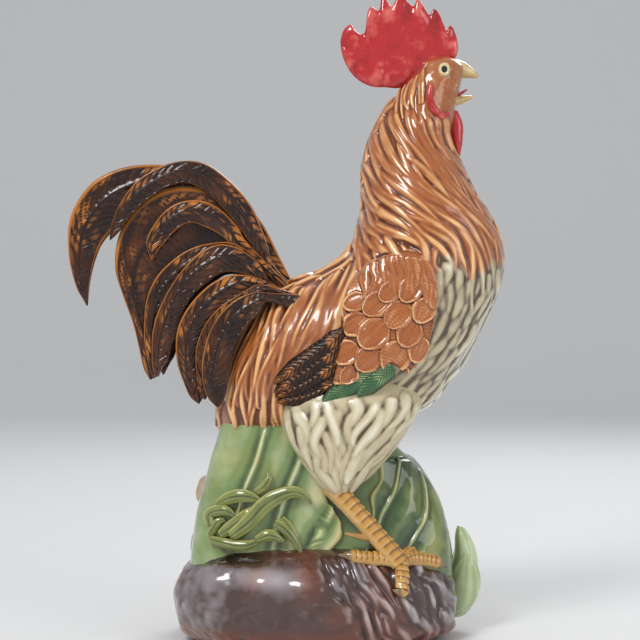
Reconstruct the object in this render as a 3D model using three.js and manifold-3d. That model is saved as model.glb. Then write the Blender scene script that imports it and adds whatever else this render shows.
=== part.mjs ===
// Glazed ceramic rooster on a rock, built from the clay pieces that are formed apart and luted together:
// hollow press-moulded shells for the rock, the leaf mound and the bird, with modelled pieces set on them.
// Millimetres, +Z up. The bird faces +X, and its right side faces -Y.
import * as THREE from "three";
import { mergeVertices } from "three/addons/utils/BufferGeometryUtils.js";
import Module from "manifold-3d";

const wasm = await Module();
wasm.setup();

// Joints between pieces
const SEAT_GAP = 0.35;
const SEAM_GAP = 0.4;

// Walls of the hollow pieces, and the vent that lets the hollows breathe in the kiln
const BODY_WALL = 7;
const MOUND_WALL = 7;
const ROCK_WALL = 9;
const VENT_RADIUS = 9;
const VENT_X = -12;

// Rock: a flat-topped boulder that is widest a little above the table
const ROCK_LENGTH = 180;
const ROCK_DEPTH = 124;
const ROCK_HEIGHT = 60;
const ROCK_WAIST_HEIGHT = 21;
const ROCK_UNDERCUT = 29;
const ROCK_CENTRE_X = -4;
const ROCK_PLAN_POWER = 2.5;
const ROCK_SIDE_POWER = 3;
const ROCK_LOBES = [
  { count: 3, depth: 0.02, turn: 0.7 },
  { count: 5, depth: 0.015, turn: 2.1 },
];
const SHOULDER_SHARE = 0.985;
const ROCK_FRONT_X = ROCK_CENTRE_X + ROCK_LENGTH / 2;
const ROCK_REAR_X = ROCK_CENTRE_X - ROCK_LENGTH / 2;
const ROCK_WAIST_Z = ROCK_WAIST_HEIGHT - ROCK_HEIGHT;

// Hollows in the rock's side: two slanting waves that cross, and the depths below its top where they fade in
const ROCK_DENT = 3.4;
const ROCK_WAVES = [
  { count: 9, slant: 9, turn: 0 },
  { count: 5, slant: -13, turn: 1.3 },
];
const ROCK_DENT_FADE = { from: 3, to: 14 };

// Small boulder and pebble behind the leaf mound, set in from the rock's rear end and its far side
const BOULDER_INSET = [34, 35];
const PEBBLE_INSET = [26, 38];
const BOULDER = { at: [ROCK_REAR_X + BOULDER_INSET[0], ROCK_DEPTH / 2 - BOULDER_INSET[1], -7], radii: [25, 21, 25] };
const PEBBLE = { at: [ROCK_REAR_X + PEBBLE_INSET[0], ROCK_DEPTH / 2 - PEBBLE_INSET[1], 26], radii: [12, 11, 13] };

// Leaf mound: outline stations from the rock upwards, as height over the rock's top, end positions and half depth
const MOUND = [
  { height: -30, left: -78, right: 80, halfDepth: 34 },
  { height: -6, left: -77, right: 79, halfDepth: 33.5 },
  { height: 11, left: -75, right: 76, halfDepth: 32.5 },
  { height: 30, left: -70.5, right: 69, halfDepth: 31 },
  { height: 48, left: -65.5, right: 57.5, halfDepth: 29.5 },
  { height: 62, left: -61.5, right: 43.5, halfDepth: 28 },
  { height: 76, left: -58, right: 31, halfDepth: 26 },
];
const MOUND_PLAN_POWER = 3;
const LEAF_THICKNESS = 3;

// Bird: each station is a section across the body, from a point of the back line to a point of the belly line
const BODY = [
  { back: [-67, 70], belly: [-61, 60.5], halfWidth: 9 },
  { back: [-64.5, 88.5], belly: [-43, 58.5], halfWidth: 27 },
  { back: [-57, 116], belly: [-18, 58], halfWidth: 38 },
  { back: [-42, 142], belly: [10, 60], halfWidth: 45.5 },
  { back: [-20, 161], belly: [40, 66], halfWidth: 50 },
  { back: [2, 169], belly: [66, 78.5], halfWidth: 51 },
  { back: [16, 182], belly: [86, 102], halfWidth: 50.5 },
  { back: [23, 198], belly: [103, 132], halfWidth: 49 },
  { back: [24, 212], belly: [114, 163], halfWidth: 45 },
  { back: [24, 227], belly: [112.5, 189], halfWidth: 39.5 },
  { back: [28, 245], belly: [97, 216], halfWidth: 31.5 },
  { back: [36, 262.5], belly: [86, 243], halfWidth: 25 },
  { back: [48, 280.5], belly: [84.5, 266], halfWidth: 20.5 },
  { back: [63, 295], belly: [87.5, 279.5], halfWidth: 18.5 },
  { back: [77, 298.7], belly: [89, 286.5], halfWidth: 13.5 },
];
const TORSO_LAST = 9.3;
const NECK_LAST = 11.8;
const CAVITY_FIRST = 1.5;
const CAVITY_LAST = 11.2;

// Thigh: sections from inside the body down to the hock
const THIGH = [
  { left: [-8, 110], right: [50, 110], y: 24, halfDepth: 20 },
  { left: [-18, 98], right: [58, 98], y: 27, halfDepth: 23 },
  { left: [-25, 84], right: [63, 84], y: 29.5, halfDepth: 26 },
  { left: [-24, 69], right: [55, 68], y: 32, halfDepth: 25 },
  { left: [-17.4, 56], right: [45, 54], y: 34, halfDepth: 20 },
  { left: [-9.6, 44], right: [33, 41], y: 36, halfDepth: 15 },
  { left: [-2.4, 35], right: [21.6, 32.5], y: 38, halfDepth: 10 },
  { left: [2.4, 30.6], right: [15.6, 28], y: 38.5, halfDepth: 5.5 },
];

// Leg and foot
const HOCK = [9, 38.5, 35];
const SHANK_TOP_RADIUS = 6.6;
const SHANK_FOOT_RADIUS = 6.2;
const SCUTE_COUNT = 5;
const SCUTE_DEPTH = 0.6;
const FOOT_END_INSET = 38;
const FOOT_SIDE_INSET = 20;
const TOE_RADIUS = 4.6;
const TOE_TIP_RADIUS = 1.6;
const TOE_SINK_SHARE = 0.3;
const TOES = [
  { reach: [30, 22], bow: 2 },
  { reach: [4, -19], bow: 0 },
  { reach: [28, 36], bow: 6 },
  { reach: [-37, -2], bow: 0 },
];
const SPUR_LENGTH = 20;
const SPUR_RADIUS = 3.4;
const SPUR_SHARE = 0.66;

// Head pieces
const EYE = { at: [75.6, 287.5], radius: 4.4 };
const COMB_THICKNESS = 7;
const COMB_OUTLINE = [
  [39.5, 279], [32, 279.4], [24, 283.2], [18, 289.4], [13.9, 297.8], [12.4, 306.7], [13.9, 313.8], [16.7, 317.3],
  [19.5, 318.5], [21.7, 315], [24.6, 312.6], [27.3, 313.3], [28.2, 318.5], [29.3, 326.3], [31.6, 329.6],
  [34.4, 328], [36.5, 327.5], [37.6, 333.4], [39.2, 336.5], [41.7, 333.4], [44, 329.9], [45.9, 332.2], [48.4, 337.5],
  [51.4, 336], [53.6, 333.4], [57.8, 329.9], [59.4, 333.4], [61.1, 334.4], [63.7, 331], [67.9, 324.5],
  [69.2, 327], [71.2, 328.1], [73.8, 325.7], [76.8, 318.6], [78.6, 315], [79.5, 316.8], [81, 318], [82.7, 316.2],
  [85.1, 309.7], [86, 303.8], [85.1, 299], [84, 297.2], [80, 292], [66, 287], [52, 279],
];
const UPPER_BEAK = [
  { at: [80, 289], radii: [8.5, 7.5] },
  { at: [86, 290], radii: [6.4, 5.8] },
  { at: [91.5, 288.6], radii: [4.3, 4] },
  { at: [96, 286.6], radii: [2.4, 2.3] },
  { at: [98.2, 285.4], radii: [0.9, 0.9] },
];
const LOWER_BEAK = [
  { at: [80, 270.5], radii: [3.6, 5.4] },
  { at: [86.5, 271], radii: [2.9, 4.4] },
  { at: [91.5, 272.4], radii: [1.9, 2.8] },
  { at: [94.8, 273.4], radii: [0.8, 1] },
];
const TONGUE = [
  { at: [84, 273.4], radii: [1.1, 2.2] },
  { at: [88.2, 276], radii: [1, 1.8] },
  { at: [91.6, 278.2], radii: [0.6, 0.8] },
];
const WATTLE = [
  { at: [81, 264], radii: [4, 3] },
  { at: [83.6, 257], radii: [4.6, 3.6] },
  { at: [84.4, 248], radii: [4.2, 3.8] },
  { at: [85, 240], radii: [2.8, 3] },
  { at: [85.8, 235.5], radii: [1, 1.2] },
];
const WATTLE_SPREAD = 4.4;
const EAR_LOBE = [
  { at: [67.6, 279], radius: 1.6 },
  { at: [66.6, 270], radius: 2.2 },
  { at: [69.5, 262.5], radius: 2.4 },
  { at: [75, 259.2], radius: 2.2 },
  { at: [79.5, 261.5], radius: 1.5 },
];
const EAR_LOBE_LIFT = 0.6;

// Wing plates: side outlines, and how far each stands out from the body
const COVERTS = {
  stand: 9,
  outline: [
    [64.8, 172.7], [70.7, 161.5], [71.9, 146.8], [69.5, 128], [63.6, 112], [53, 101], [42, 108], [33, 99.5],
    [20, 96], [7, 91], [6.5, 97], [9.4, 117.4], [13, 129.1], [10.6, 143.9], [14.7, 158.6], [24.7, 169.2], [44.2, 176.3],
  ],
};
const GREEN_COVERTS = {
  stand: 8,
  outline: [
    [7.5, 90], [20, 95], [33, 98.5], [42, 107], [51.5, 101], [53, 94], [44, 87], [30, 86], [14, 84.5], [6, 86],
  ],
};
const FLIGHT_FEATHERS = {
  stand: 6,
  outline: [
    [12.3, 129], [8.8, 117.4], [5.8, 97], [6.6, 90.5], [5.2, 85.8], [-11.8, 84.4], [-25.3, 86.1], [-27.1, 92],
    [-20.6, 102.6], [-11.8, 112.6], [0, 123.2],
  ],
};
const WING_PLATE_GAP = 0.35;

// Tail feathers: the outer and the inner edge of each blade in the side view, from the root to the tip, and its
// distance from the middle plane. They are listed from the outermost inwards, and each is fitted under those before.
const BLADE_THICKNESS = 8;
const TAIL_ROOT = { outer: [-13, 151], inner: [-7, 136] };
const SIDE_BLADES = [
  {
    name: "side_covert", y: 30,
    outer: [[-28.9, 151.8], [-39.1, 152.4], [-50.5, 148.2], [-60.1, 139.8], [-66.2, 130.2], [-69.8, 119.4],
      [-71.6, 108.5], [-71, 97.7], [-68, 88.7], [-63.1, 83.3]],
    inner: [[-30.1, 145.2], [-36.1, 139.2], [-43.3, 131.4], [-48.1, 123], [-51.7, 114], [-54.1, 104.9],
      [-55.3, 95.9], [-56.5, 89.3], [-58.3, 85.1], [-60.7, 82.1]],
  },
  {
    name: "lesser_sickle", y: 25.5,
    outer: [[-26.6, 154.9], [-38.1, 156.8], [-49.5, 150.7], [-60.4, 143.5], [-68.3, 135], [-73.1, 125.9],
      [-75.5, 116.9], [-75.5, 107.2], [-74.3, 97.5], [-72.5, 87.9]],
    inner: [[-24.2, 148.3], [-32.6, 147.1], [-41.1, 142.3], [-49.5, 136.2], [-55.6, 129], [-60.4, 120.5],
      [-64, 112], [-65.9, 103.6], [-67.1, 95.1], [-70.7, 86.7]],
  },
  {
    name: "lower_sickle", y: 21.5,
    outer: [[-26.7, 155.6], [-35.2, 159.9], [-46.7, 162.9], [-55.8, 162.3], [-65.5, 158.1], [-75.2, 149.6],
      [-82.5, 139.9], [-86.8, 130.1], [-88, 119.8], [-86.8, 108.3], [-83.7, 98.6], [-79.5, 88.9], [-74, 84]],
    inner: [[-24.3, 150.2], [-32.8, 152], [-42.5, 152], [-51, 148.3], [-58.2, 142.3], [-64.3, 135],
      [-69.2, 126.5], [-71.6, 118], [-72.8, 109.5], [-72.8, 99.8], [-71.6, 92.5], [-71, 87.1], [-72.8, 84]],
  },
  {
    name: "middle_sickle", y: 17,
    outer: [[-28.6, 156.9], [-37.2, 169.7], [-48.8, 178.9], [-60.9, 181.9], [-71.9, 177.7], [-80.4, 170.3],
      [-87.8, 161.2], [-93.9, 151.5], [-99.3, 139.9], [-102.4, 128.3], [-103, 116.7], [-102.4, 105.7], [-100.6, 100.3]],
    inner: [[-25.6, 152.1], [-35.3, 158.2], [-48.8, 163], [-59.7, 163], [-68.3, 157.6], [-76.2, 150.8],
      [-81.7, 142.9], [-85.9, 133.8], [-88.4, 124], [-90.8, 116.7], [-92, 111.8], [-95.1, 107], [-98.7, 100.3]],
  },
  {
    name: "upper_sickle", y: 12.5,
    outer: [[-29.4, 158.3], [-40.4, 174.2], [-53.9, 182.8], [-69.8, 182.1], [-82, 177.9], [-92.4, 170.5],
      [-100.4, 161.9], [-105.9, 150.3], [-107.8, 137.4], [-107.8, 122.8], [-105.9, 110.5], [-102.9, 99.5]],
    inner: [[-26.9, 153.4], [-38, 162.6], [-50.2, 168.1], [-64.9, 168.1], [-75.9, 161.9], [-84.5, 153.4],
      [-90.6, 144.2], [-94.3, 133.8], [-96.7, 122.8], [-97.3, 115.4], [-98, 108.1], [-101.6, 98.9]],
  },
];
const SHORT_SICKLE = {
  name: "short_sickle", y: 10,
  outer: [[-43, 181.6], [-50.3, 192.7], [-61.4, 203.7], [-72.4, 208.7], [-82.2, 208.7], [-90.8, 205.6],
    [-98.2, 199.4], [-103.7, 191.5], [-106.8, 184.1], [-105.6, 176.1], [-103.1, 170.6]],
  inner: [[-51.6, 176.7], [-58.3, 184.1], [-65.7, 189], [-71.2, 191.5], [-77.3, 193.9], [-83.5, 192.7],
    [-89, 188.4], [-93.9, 182.9], [-98.2, 178], [-100.7, 173.7], [-102.5, 170.6]],
};
const MAIN_SICKLE = {
  name: "main_sickle", y: 8.5,
  outer: [[-27, 160.8], [-32, 181.1], [-41.2, 204.5], [-55.3, 221.1], [-71.9, 232.1], [-91, 232.1],
    [-110, 222.9], [-121.7, 209.4], [-128.5, 194], [-129.7, 184.8]],
  inner: [[-30.7, 156.5], [-38.1, 173.1], [-51.6, 192.8], [-65.8, 208.8], [-79.9, 218], [-93.4, 216.1],
    [-107, 206.9], [-116.2, 197.7], [-122.9, 189.1], [-128.5, 183.6]],
};
const GREAT_COVERT = {
  name: "great_covert", y: 4,
  outer: [[-33, 175], [-45, 197], [-63, 213], [-86, 218], [-108, 210.5], [-121, 195],
    [-126, 181.3], [-126.6, 165.9], [-122.3, 151.1], [-116.1, 133.8], [-112.4, 118.9], [-109.3, 105.4], [-105.6, 98.6]],
  inner: [[-30, 152], [-42, 163], [-60, 172], [-77, 172], [-86, 164], [-93.9, 156],
    [-98.8, 147.4], [-100.7, 136.2], [-100.7, 125.1], [-99.4, 116.5], [-98.8, 109.1], [-100.7, 101.7], [-103.7, 97.9]],
};
const REAR_SICKLE = {
  name: "rear_sickle", y: 4.8,
  outer: [[-23, 171], [-38, 199], [-60, 219], [-88, 230.5], [-112, 232], [-131, 227.5], [-145.3, 217.6],
    [-155.9, 199], [-157.1, 177.2], [-152.7, 156.7], [-145.9, 144.3]],
  inner: [[-36, 162], [-51, 187], [-67, 202], [-88, 212.5], [-106, 208.3], [-116, 202], [-124.5, 194.5],
    [-134.7, 182.8], [-139.7, 171], [-142.8, 157.4], [-144.1, 143.7]],
};

// The rear sickle stands in the middle, so the left side's blades start farther out
const LEFT_SIDE_SHIFT = 9.2;

// Grass blades on the right side of the mound: middle line in the side view with half width
const GRASS = [
  [[-54, 5, 3], [-42.7, 14.4, 3.6], [-34.1, 23.7, 3.8], [-25.5, 29.6, 3.8], [-15.4, 32.5, 3.2], [-8.3, 29.6, 2.2],
    [-5, 24.8, 0.8]],
  [[-61.3, 25.1, 2.4], [-54.2, 28.8, 3.2], [-44.1, 29.6, 3], [-33.4, 26.3, 0.8]],
  [[-66, 11, 2.4], [-66.8, 18.5, 2.6], [-62.3, 21.8, 2.6], [-55.6, 21.2, 2], [-51.5, 18, 0.8]],
  [[-38.5, 31.7, 2], [-33.4, 35.2, 2.2], [-30.5, 40.2, 1.8], [-30.8, 43.8, 0.7]],
  [[-27.6, 14.4, 2], [-21.3, 10.8, 2.6], [-16.2, 5, 2.4], [-11.8, -2.8, 0.8]],
  [[-36.9, 4.4, 2.2], [-29.8, 8, 2.8], [-21.9, 3.7, 0.9]],
];
const GRASS_DEPTH = 3.2;
const GRASS_SINK_SHARE = 0.4;

// Flower bud against the front end of the rock: middle line past that end and over the rock's waist, half width and
// half depth
const BUD_Y = 15;
const BUD = [
  { past: [-6, -11], radii: [3, 4] },
  { past: [1, -4], radii: [8.5, 10] },
  { past: [4.5, 12], radii: [9.4, 11] },
  { past: [5.5, 27], radii: [7.4, 9] },
  { past: [3, 39], radii: [4.4, 5.4] },
  { past: [1, 45], radii: [1.2, 1.4] },
];
const BUD_SHEATH_THICKNESS = 1.8;
const BUD_SHEATHS = [
  {
    name: "bud_sheath_right", from: -10, to: BUD_Y - 1,
    outline: [[-16, -11], [15, -13], [15, 9], [2, 25], [-6, 13]],
  },
  {
    name: "bud_sheath_left", from: BUD_Y + 1, to: 40,
    outline: [[-16, -11], [17, -13], [17, 27], [11, 37], [0, 17]],
  },
];
const pastRock = ([x, z]) => [ROCK_FRONT_X + x, ROCK_WAIST_Z + z];

// Facets
const BODY_ARC = 9;
const BODY_STEP = 0.8;
const CAVITY_ARC = 7;
const ROCK_ARC = 60;
const ROCK_LAYERS = [0, 0.25, 0.5, 0.7, 0.85, 0.95, 0.99, 0.9995];
const THIGH_ARC = 14;
const BLADE_ARC = 6;
const BLADE_STEP = 1;
const GRASS_ARC = 7;

const clay = {
  rock: [0x4a2f2a, 0.35], mound: [0x5a7c46, 0.3], leaf: [0x4f7a45, 0.25], grass: [0x6f7f36, 0.25],
  bud: [0x9fc08a, 0.25], pebble: [0xcdb089, 0.5], brown: [0xb0642c, 0.25], cream: [0xd9d0b0, 0.3],
  black: [0x2a1710, 0.18], green: [0x2f6b34, 0.25], red: [0xb8141e, 0.18], yellow: [0xc79a46, 0.35],
  face: [0xa9672f, 0.3], eye: [0x15120e, 0.12], horn: [0xb9a063, 0.35],
};

function material(name) {
  const [color, roughness] = clay[name];
  return new THREE.MeshStandardMaterial({ color, roughness, metalness: 0 });
}

// A closed solid from a three.js geometry, whichever way its faces turn.
function solid(geometry) {
  const bare = new THREE.BufferGeometry();
  const flat = geometry.index ? geometry.toNonIndexed() : geometry;
  bare.setAttribute("position", flat.getAttribute("position"));
  const merged = mergeVertices(bare, 1e-4);
  const vertProperties = new Float32Array(merged.attributes.position.array);
  const triVerts = new Uint32Array(merged.index.array);
  const made = new wasm.Manifold(new wasm.Mesh({ numProp: 3, vertProperties, triVerts }));
  if (made.volume() >= 0) return made;
  for (let i = 0; i < triVerts.length; i += 3) {
    [triVerts[i + 1], triVerts[i + 2]] = [triVerts[i + 2], triVerts[i + 1]];
  }
  return new wasm.Manifold(new wasm.Mesh({ numProp: 3, vertProperties, triVerts }));
}

function geometryOf(manifold) {
  const mesh = manifold.getMesh();
  const geometry = new THREE.BufferGeometry();
  geometry.setAttribute("position", new THREE.BufferAttribute(new Float32Array(mesh.vertProperties), 3));
  geometry.setIndex(new THREE.BufferAttribute(new Uint32Array(mesh.triVerts), 1));
  return geometry;
}

// A cut can leave crumbs, which a potter wipes away: only the largest body stays.
function largest(manifold) {
  const bodies = manifold.decompose();
  return bodies.reduce((best, body) => (body.volume() > best.volume() ? body : best));
}

function fit(piece, ...carriers) {
  return largest(carriers.reduce((left, carrier) => left.subtract(carrier), piece));
}

// The closed surface through rings of points: walls between neighbouring rings, and a fan over each end.
function loft(rings) {
  const size = rings[0].length;
  const points = rings.flat();
  const index = [];
  for (let i = 0; i + 1 < rings.length; i++) {
    for (let j = 0; j < size; j++) {
      const a = i * size + j;
      const b = i * size + ((j + 1) % size);
      index.push(a, b, b + size, a, b + size, a + size);
    }
  }
  const addFan = (first, turned) => {
    const centre = points.length;
    const sum = points.slice(first, first + size).reduce((s, p) => s.add(p), new THREE.Vector3());
    points.push(sum.divideScalar(size));
    for (let j = 0; j < size; j++) {
      const a = first + j;
      const b = first + ((j + 1) % size);
      index.push(...(turned ? [centre, a, b] : [centre, b, a]));
    }
  };
  addFan(0, false);
  addFan((rings.length - 1) * size, true);
  const geometry = new THREE.BufferGeometry().setFromPoints(points);
  geometry.setIndex(index);
  return solid(geometry);
}

// A smooth run through rows of three numbers, read at a row number that need not be whole.
function smooth(rows) {
  const curve = new THREE.CatmullRomCurve3(rows.map((row) => new THREE.Vector3(...row)), false, "catmullrom", 0.5);
  return (t) => curve.getPoint(THREE.MathUtils.clamp(t / (rows.length - 1), 0, 1));
}

function steps(from, to, step) {
  const count = Math.max(1, Math.ceil((to - from) / step));
  return Array.from({ length: count + 1 }, (_, i) => from + ((to - from) * i) / count);
}

// Bird's body: sections between the back line and the belly line
const backLine = smooth(BODY.map((s) => [...s.back, 0]));
const bellyLine = smooth(BODY.map((s) => [...s.belly, s.halfWidth]));

function bodySection(t) {
  const back = backLine(t);
  const belly = bellyLine(t);
  const centre = new THREE.Vector3((back.x + belly.x) / 2, 0, (back.y + belly.y) / 2);
  const up = new THREE.Vector3((back.x - belly.x) / 2, 0, (back.y - belly.y) / 2);
  return { centre, up, halfWidth: belly.z, normal: new THREE.Vector3(up.z, 0, -up.x).normalize() };
}

// One section's ring. A side of 1 or -1 gives the half of it on that side of the seam, closed flat along the seam.
function bodyRing(t, grow, side, arc, shift) {
  const { centre, up, halfWidth, normal } = bodySection(t);
  const reach = up.clone().multiplyScalar(1 + grow / up.length());
  const span = side ? Math.PI : 2 * Math.PI;
  const count = side ? arc + 1 : 2 * arc;
  return Array.from({ length: count }, (_, j) => {
    const angle = (side < 0 ? Math.PI : 0) + (span * j) / (side ? arc : count);
    const out = (halfWidth + grow) * Math.sin(angle);
    const point = centre.clone().addScaledVector(reach, Math.cos(angle)).addScaledVector(normal, shift);
    point.y = side ? side * Math.max(side * out, SEAM_GAP / 2) : out;
    return point;
  });
}

// Sections that every body solid shares, so that their facets lie parallel
const BODY_LAST = BODY.length - 1;
const sharedStations = [
  ...steps(0, TORSO_LAST, BODY_STEP),
  ...steps(TORSO_LAST, NECK_LAST, BODY_STEP).slice(1),
  ...steps(NECK_LAST, BODY_LAST, BODY_STEP).slice(1),
];

// Body between two stations, grown outwards by a distance
function body(first, last, { grow = 0, side = 0, arc = BODY_ARC, step = 0, startShift = 0, endShift = 0 } = {}) {
  const shared = sharedStations.filter((t) => t >= first && t <= last);
  const stations = step ? steps(first, last, step) : shared;
  return loft(stations.map((t, i) => {
    const shift = i === 0 ? startShift : i === stations.length - 1 ? endShift : 0;
    return bodyRing(t, grow, side, arc, shift);
  }));
}

const bodyBlock = body(0, BODY_LAST, { grow: SEAT_GAP, startShift: -SEAT_GAP, endShift: SEAT_GAP });
const cavity = body(CAVITY_FIRST, CAVITY_LAST, { grow: -BODY_WALL, arc: CAVITY_ARC, step: 1.2 });

// Half width of the body at a point of the side view, found by walking the sections until one passes through it
function bodyDepthAt(x, z) {
  const offAt = (t) => {
    const { centre, normal } = bodySection(t);
    return (x - centre.x) * normal.x + (z - centre.z) * normal.z;
  };
  const t = steps(TORSO_LAST, BODY_LAST, 0.01).reduce((a, b) => (Math.abs(offAt(b)) < Math.abs(offAt(a)) ? b : a));
  const { centre, up, halfWidth } = bodySection(t);
  const along = ((x - centre.x) * up.x + (z - centre.z) * up.z) / up.lengthSq();
  return halfWidth * Math.sqrt(Math.max(0, 1 - along * along));
}

// A round or flattened rod through rings that stand across a line in the side view
function rod(stations, y, { grow = 0, arc = BLADE_ARC, step = 0.5 } = {}) {
  const line = smooth(stations.map((s) => [...s.at, 0]));
  const size = smooth(stations.map((s) => [...(s.radii ?? [s.radius, s.radius]), 0]));
  const depth = typeof y === "function" ? y : () => y;
  const places = steps(0, stations.length - 1, step);
  return loft(places.map((t) => {
    const here = line(t);
    const ahead = line(t + 0.05).sub(line(t - 0.05)).normalize();
    const radii = size(t);
    return Array.from({ length: arc }, (_, j) => {
      const angle = (2 * Math.PI * j) / arc;
      const across = (radii.x + grow) * Math.cos(angle);
      const out = (radii.y + grow) * Math.sin(angle);
      return new THREE.Vector3(here.x - ahead.y * across, depth(here.x, here.y) + out, here.y + ahead.x * across);
    });
  }));
}

// Tail blade: a lens-shaped section between its two edges, drawn in to a thin tip
function blade({ outer, inner, y }, grow = 0) {
  const outerEdge = smooth([TAIL_ROOT.outer, ...outer].map((p) => [...p, 0]));
  const innerEdge = smooth([TAIL_ROOT.inner, ...inner].map((p) => [...p, 0]));
  return loft(steps(0, outer.length, BLADE_STEP).map((t) => {
    const centre = outerEdge(t).lerp(innerEdge(t), 0.5);
    const across = outerEdge(t).sub(centre);
    across.setLength(across.length() + grow);
    const thick = (BLADE_THICKNESS / 2) * Math.min(1, 0.3 + across.length() / 6) + grow;
    return Array.from({ length: BLADE_ARC }, (_, j) => {
      const angle = (2 * Math.PI * j) / BLADE_ARC;
      const side = across.clone().multiplyScalar(Math.cos(angle));
      return new THREE.Vector3(centre.x + side.x, y + thick * Math.sin(angle), centre.y + side.y);
    });
  }));
}

// Rock: how far it reaches in a direction, and its height over any place
const rockPlan = (angle) => {
  const along = Math.abs(Math.cos(angle) / (ROCK_LENGTH / 2)) ** ROCK_PLAN_POWER;
  const across = Math.abs(Math.sin(angle) / (ROCK_DEPTH / 2)) ** ROCK_PLAN_POWER;
  const lobes = ROCK_LOBES.reduce((sum, l) => sum + l.depth * Math.sin(l.count * angle + l.turn), 1);
  return lobes * (along + across) ** (-1 / ROCK_PLAN_POWER);
};
const rockRise = ROCK_HEIGHT - ROCK_WAIST_HEIGHT;

// A point on the rock's upper side, in the frame whose zero is the rock's top; past the shoulder it is drawn back.
function onRock(x, y) {
  const angle = Math.atan2(y, x - ROCK_CENTRE_X);
  const reach = rockPlan(angle);
  const share = Math.min(Math.hypot(x - ROCK_CENTRE_X, y) / reach, SHOULDER_SHARE);
  const drop = 1 - (1 - share ** ROCK_SIDE_POWER) ** (1 / ROCK_SIDE_POWER);
  const out = share * reach - rockDent(angle, -rockRise * drop);
  return new THREE.Vector3(ROCK_CENTRE_X + out * Math.cos(angle), out * Math.sin(angle), -rockRise * drop);
}

// Depth of the hollows in the rock's side at a height below its top
function rockDent(angle, z) {
  const swell = ROCK_WAVES.reduce((product, w) => product * Math.sin(w.count * angle + z / w.slant + w.turn), 1);
  return ROCK_DENT * (0.5 - 0.5 * swell) * THREE.MathUtils.smoothstep(-z, ROCK_DENT_FADE.from, ROCK_DENT_FADE.to);
}

// The rock's outline grown by an amount; a hollow is drawn in less under the waist, so its wall stays even.
function rock(grow, floor, dented = true) {
  const rise = rockRise + grow;
  const below = ROCK_UNDERCUT + Math.max(grow, -grow / 4);
  const heights = [floor - ROCK_WAIST_Z, -below * 0.35, ...ROCK_LAYERS.map((share) => rise * share)];
  return loft(heights.map((h) => {
    const share = (1 - Math.abs(h / (h < 0 ? below : rise)) ** ROCK_SIDE_POWER) ** (1 / ROCK_SIDE_POWER);
    return Array.from({ length: ROCK_ARC }, (_, j) => {
      const angle = (2 * Math.PI * j) / ROCK_ARC;
      const dent = dented ? rockDent(angle, h + ROCK_WAIST_Z - grow) : 0;
      const reach = share * (rockPlan(angle) + grow) - dent;
      return new THREE.Vector3(ROCK_CENTRE_X + reach * Math.cos(angle), reach * Math.sin(angle), h + ROCK_WAIST_Z);
    });
  }));
}

// A tall round plug along Z, for the vents
function vent(bottom, top) {
  const plug = new THREE.CylinderGeometry(VENT_RADIUS, VENT_RADIUS, top - bottom, 20);
  plug.rotateX(Math.PI / 2);
  plug.translate(VENT_X, 0, (top + bottom) / 2);
  return solid(plug);
}

const rockCutter = rock(SEAT_GAP, -ROCK_HEIGHT);
const rockHollow = rock(-ROCK_WALL, -ROCK_HEIGHT - ROCK_WALL / 2, false);
const rockVent = vent(-ROCK_HEIGHT / 2, ROCK_HEIGHT / 2);
const rockBase = largest(rock(0, -ROCK_HEIGHT).subtract(rockHollow).subtract(rockVent));

// Leaf mound
const moundEnds = smooth(MOUND.map((s) => [s.left, s.right, s.halfDepth]));
const moundHeight = smooth(MOUND.map((s) => [s.height, 0, 0]));

function mound(grow, arc = 24, step = 1) {
  return loft(steps(0, MOUND.length - 1, step).map((t) => {
    const { x: left, y: right, z: halfDepth } = moundEnds(t);
    return Array.from({ length: arc }, (_, j) => {
      const angle = (2 * Math.PI * j) / arc;
      const power = 2 / MOUND_PLAN_POWER;
      const along = Math.sign(Math.cos(angle)) * Math.abs(Math.cos(angle)) ** power;
      const across = Math.sign(Math.sin(angle)) * Math.abs(Math.sin(angle)) ** power;
      return new THREE.Vector3(
        (left + right) / 2 + ((right - left) / 2 + grow) * along,
        (halfDepth + grow) * across,
        moundHeight(t).x,
      );
    });
  }));
}

function moundDepthAt(x, z) {
  const t = steps(0, MOUND.length - 1, 0.01).reduce(
    (a, b) => (Math.abs(moundHeight(b).x - z) < Math.abs(moundHeight(a).x - z) ? b : a),
  );
  const { x: left, y: right, z: halfDepth } = moundEnds(t);
  const along = Math.min(Math.abs((x - (left + right) / 2) / ((right - left) / 2)), 0.97);
  return halfDepth * (1 - along ** MOUND_PLAN_POWER) ** (1 / MOUND_PLAN_POWER);
}

const moundHollow = mound(-MOUND_WALL, 16, 1.5).subtract(body(0, 7, { grow: MOUND_WALL, step: 1.4, arc: 6 }));
const moundCutter = mound(SEAT_GAP);
const moundCore = fit(mound(0), bodyBlock, rockCutter, moundHollow, vent(0, BODY[3].back[1]));

// A plate cut from the skin between a core and its grown copy, inside an outline drawn in the side view
function outlinePrism(outline, from, to) {
  const shape = new THREE.Shape(outline.map(([x, z]) => new THREE.Vector2(x, z)));
  const prism = new THREE.ExtrudeGeometry(shape, { depth: to - from, bevelEnabled: false });
  prism.rotateX(Math.PI / 2);
  prism.translate(0, to, 0);
  return solid(prism);
}

// Leaves wrapped round the two ends of the mound
const leafSkin = mound(LEAF_THICKNESS);
const moundBottom = MOUND[0].height;
const moundTop = MOUND[6].height + 1;
const leafReach = 2 * MOUND[0].halfDepth;
const REAR_LEAF = [[-95, moundBottom], [2, moundBottom], [10, -2], [14, 14], [6, 34], [-6, moundTop], [-95, moundTop]];
const FRONT_LEAF = [[95, moundBottom], [24, moundBottom], [27, 0], [30, 24], [35, 52], [95, 52]];
const leafCutter = mound(LEAF_THICKNESS + SEAT_GAP);

function wrapLeaf(outline) {
  const wrapped = leafSkin.intersect(outlinePrism(outline, -leafReach, leafReach));
  return fit(wrapped, moundCutter, rockCutter, bodyBlock);
}

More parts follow.
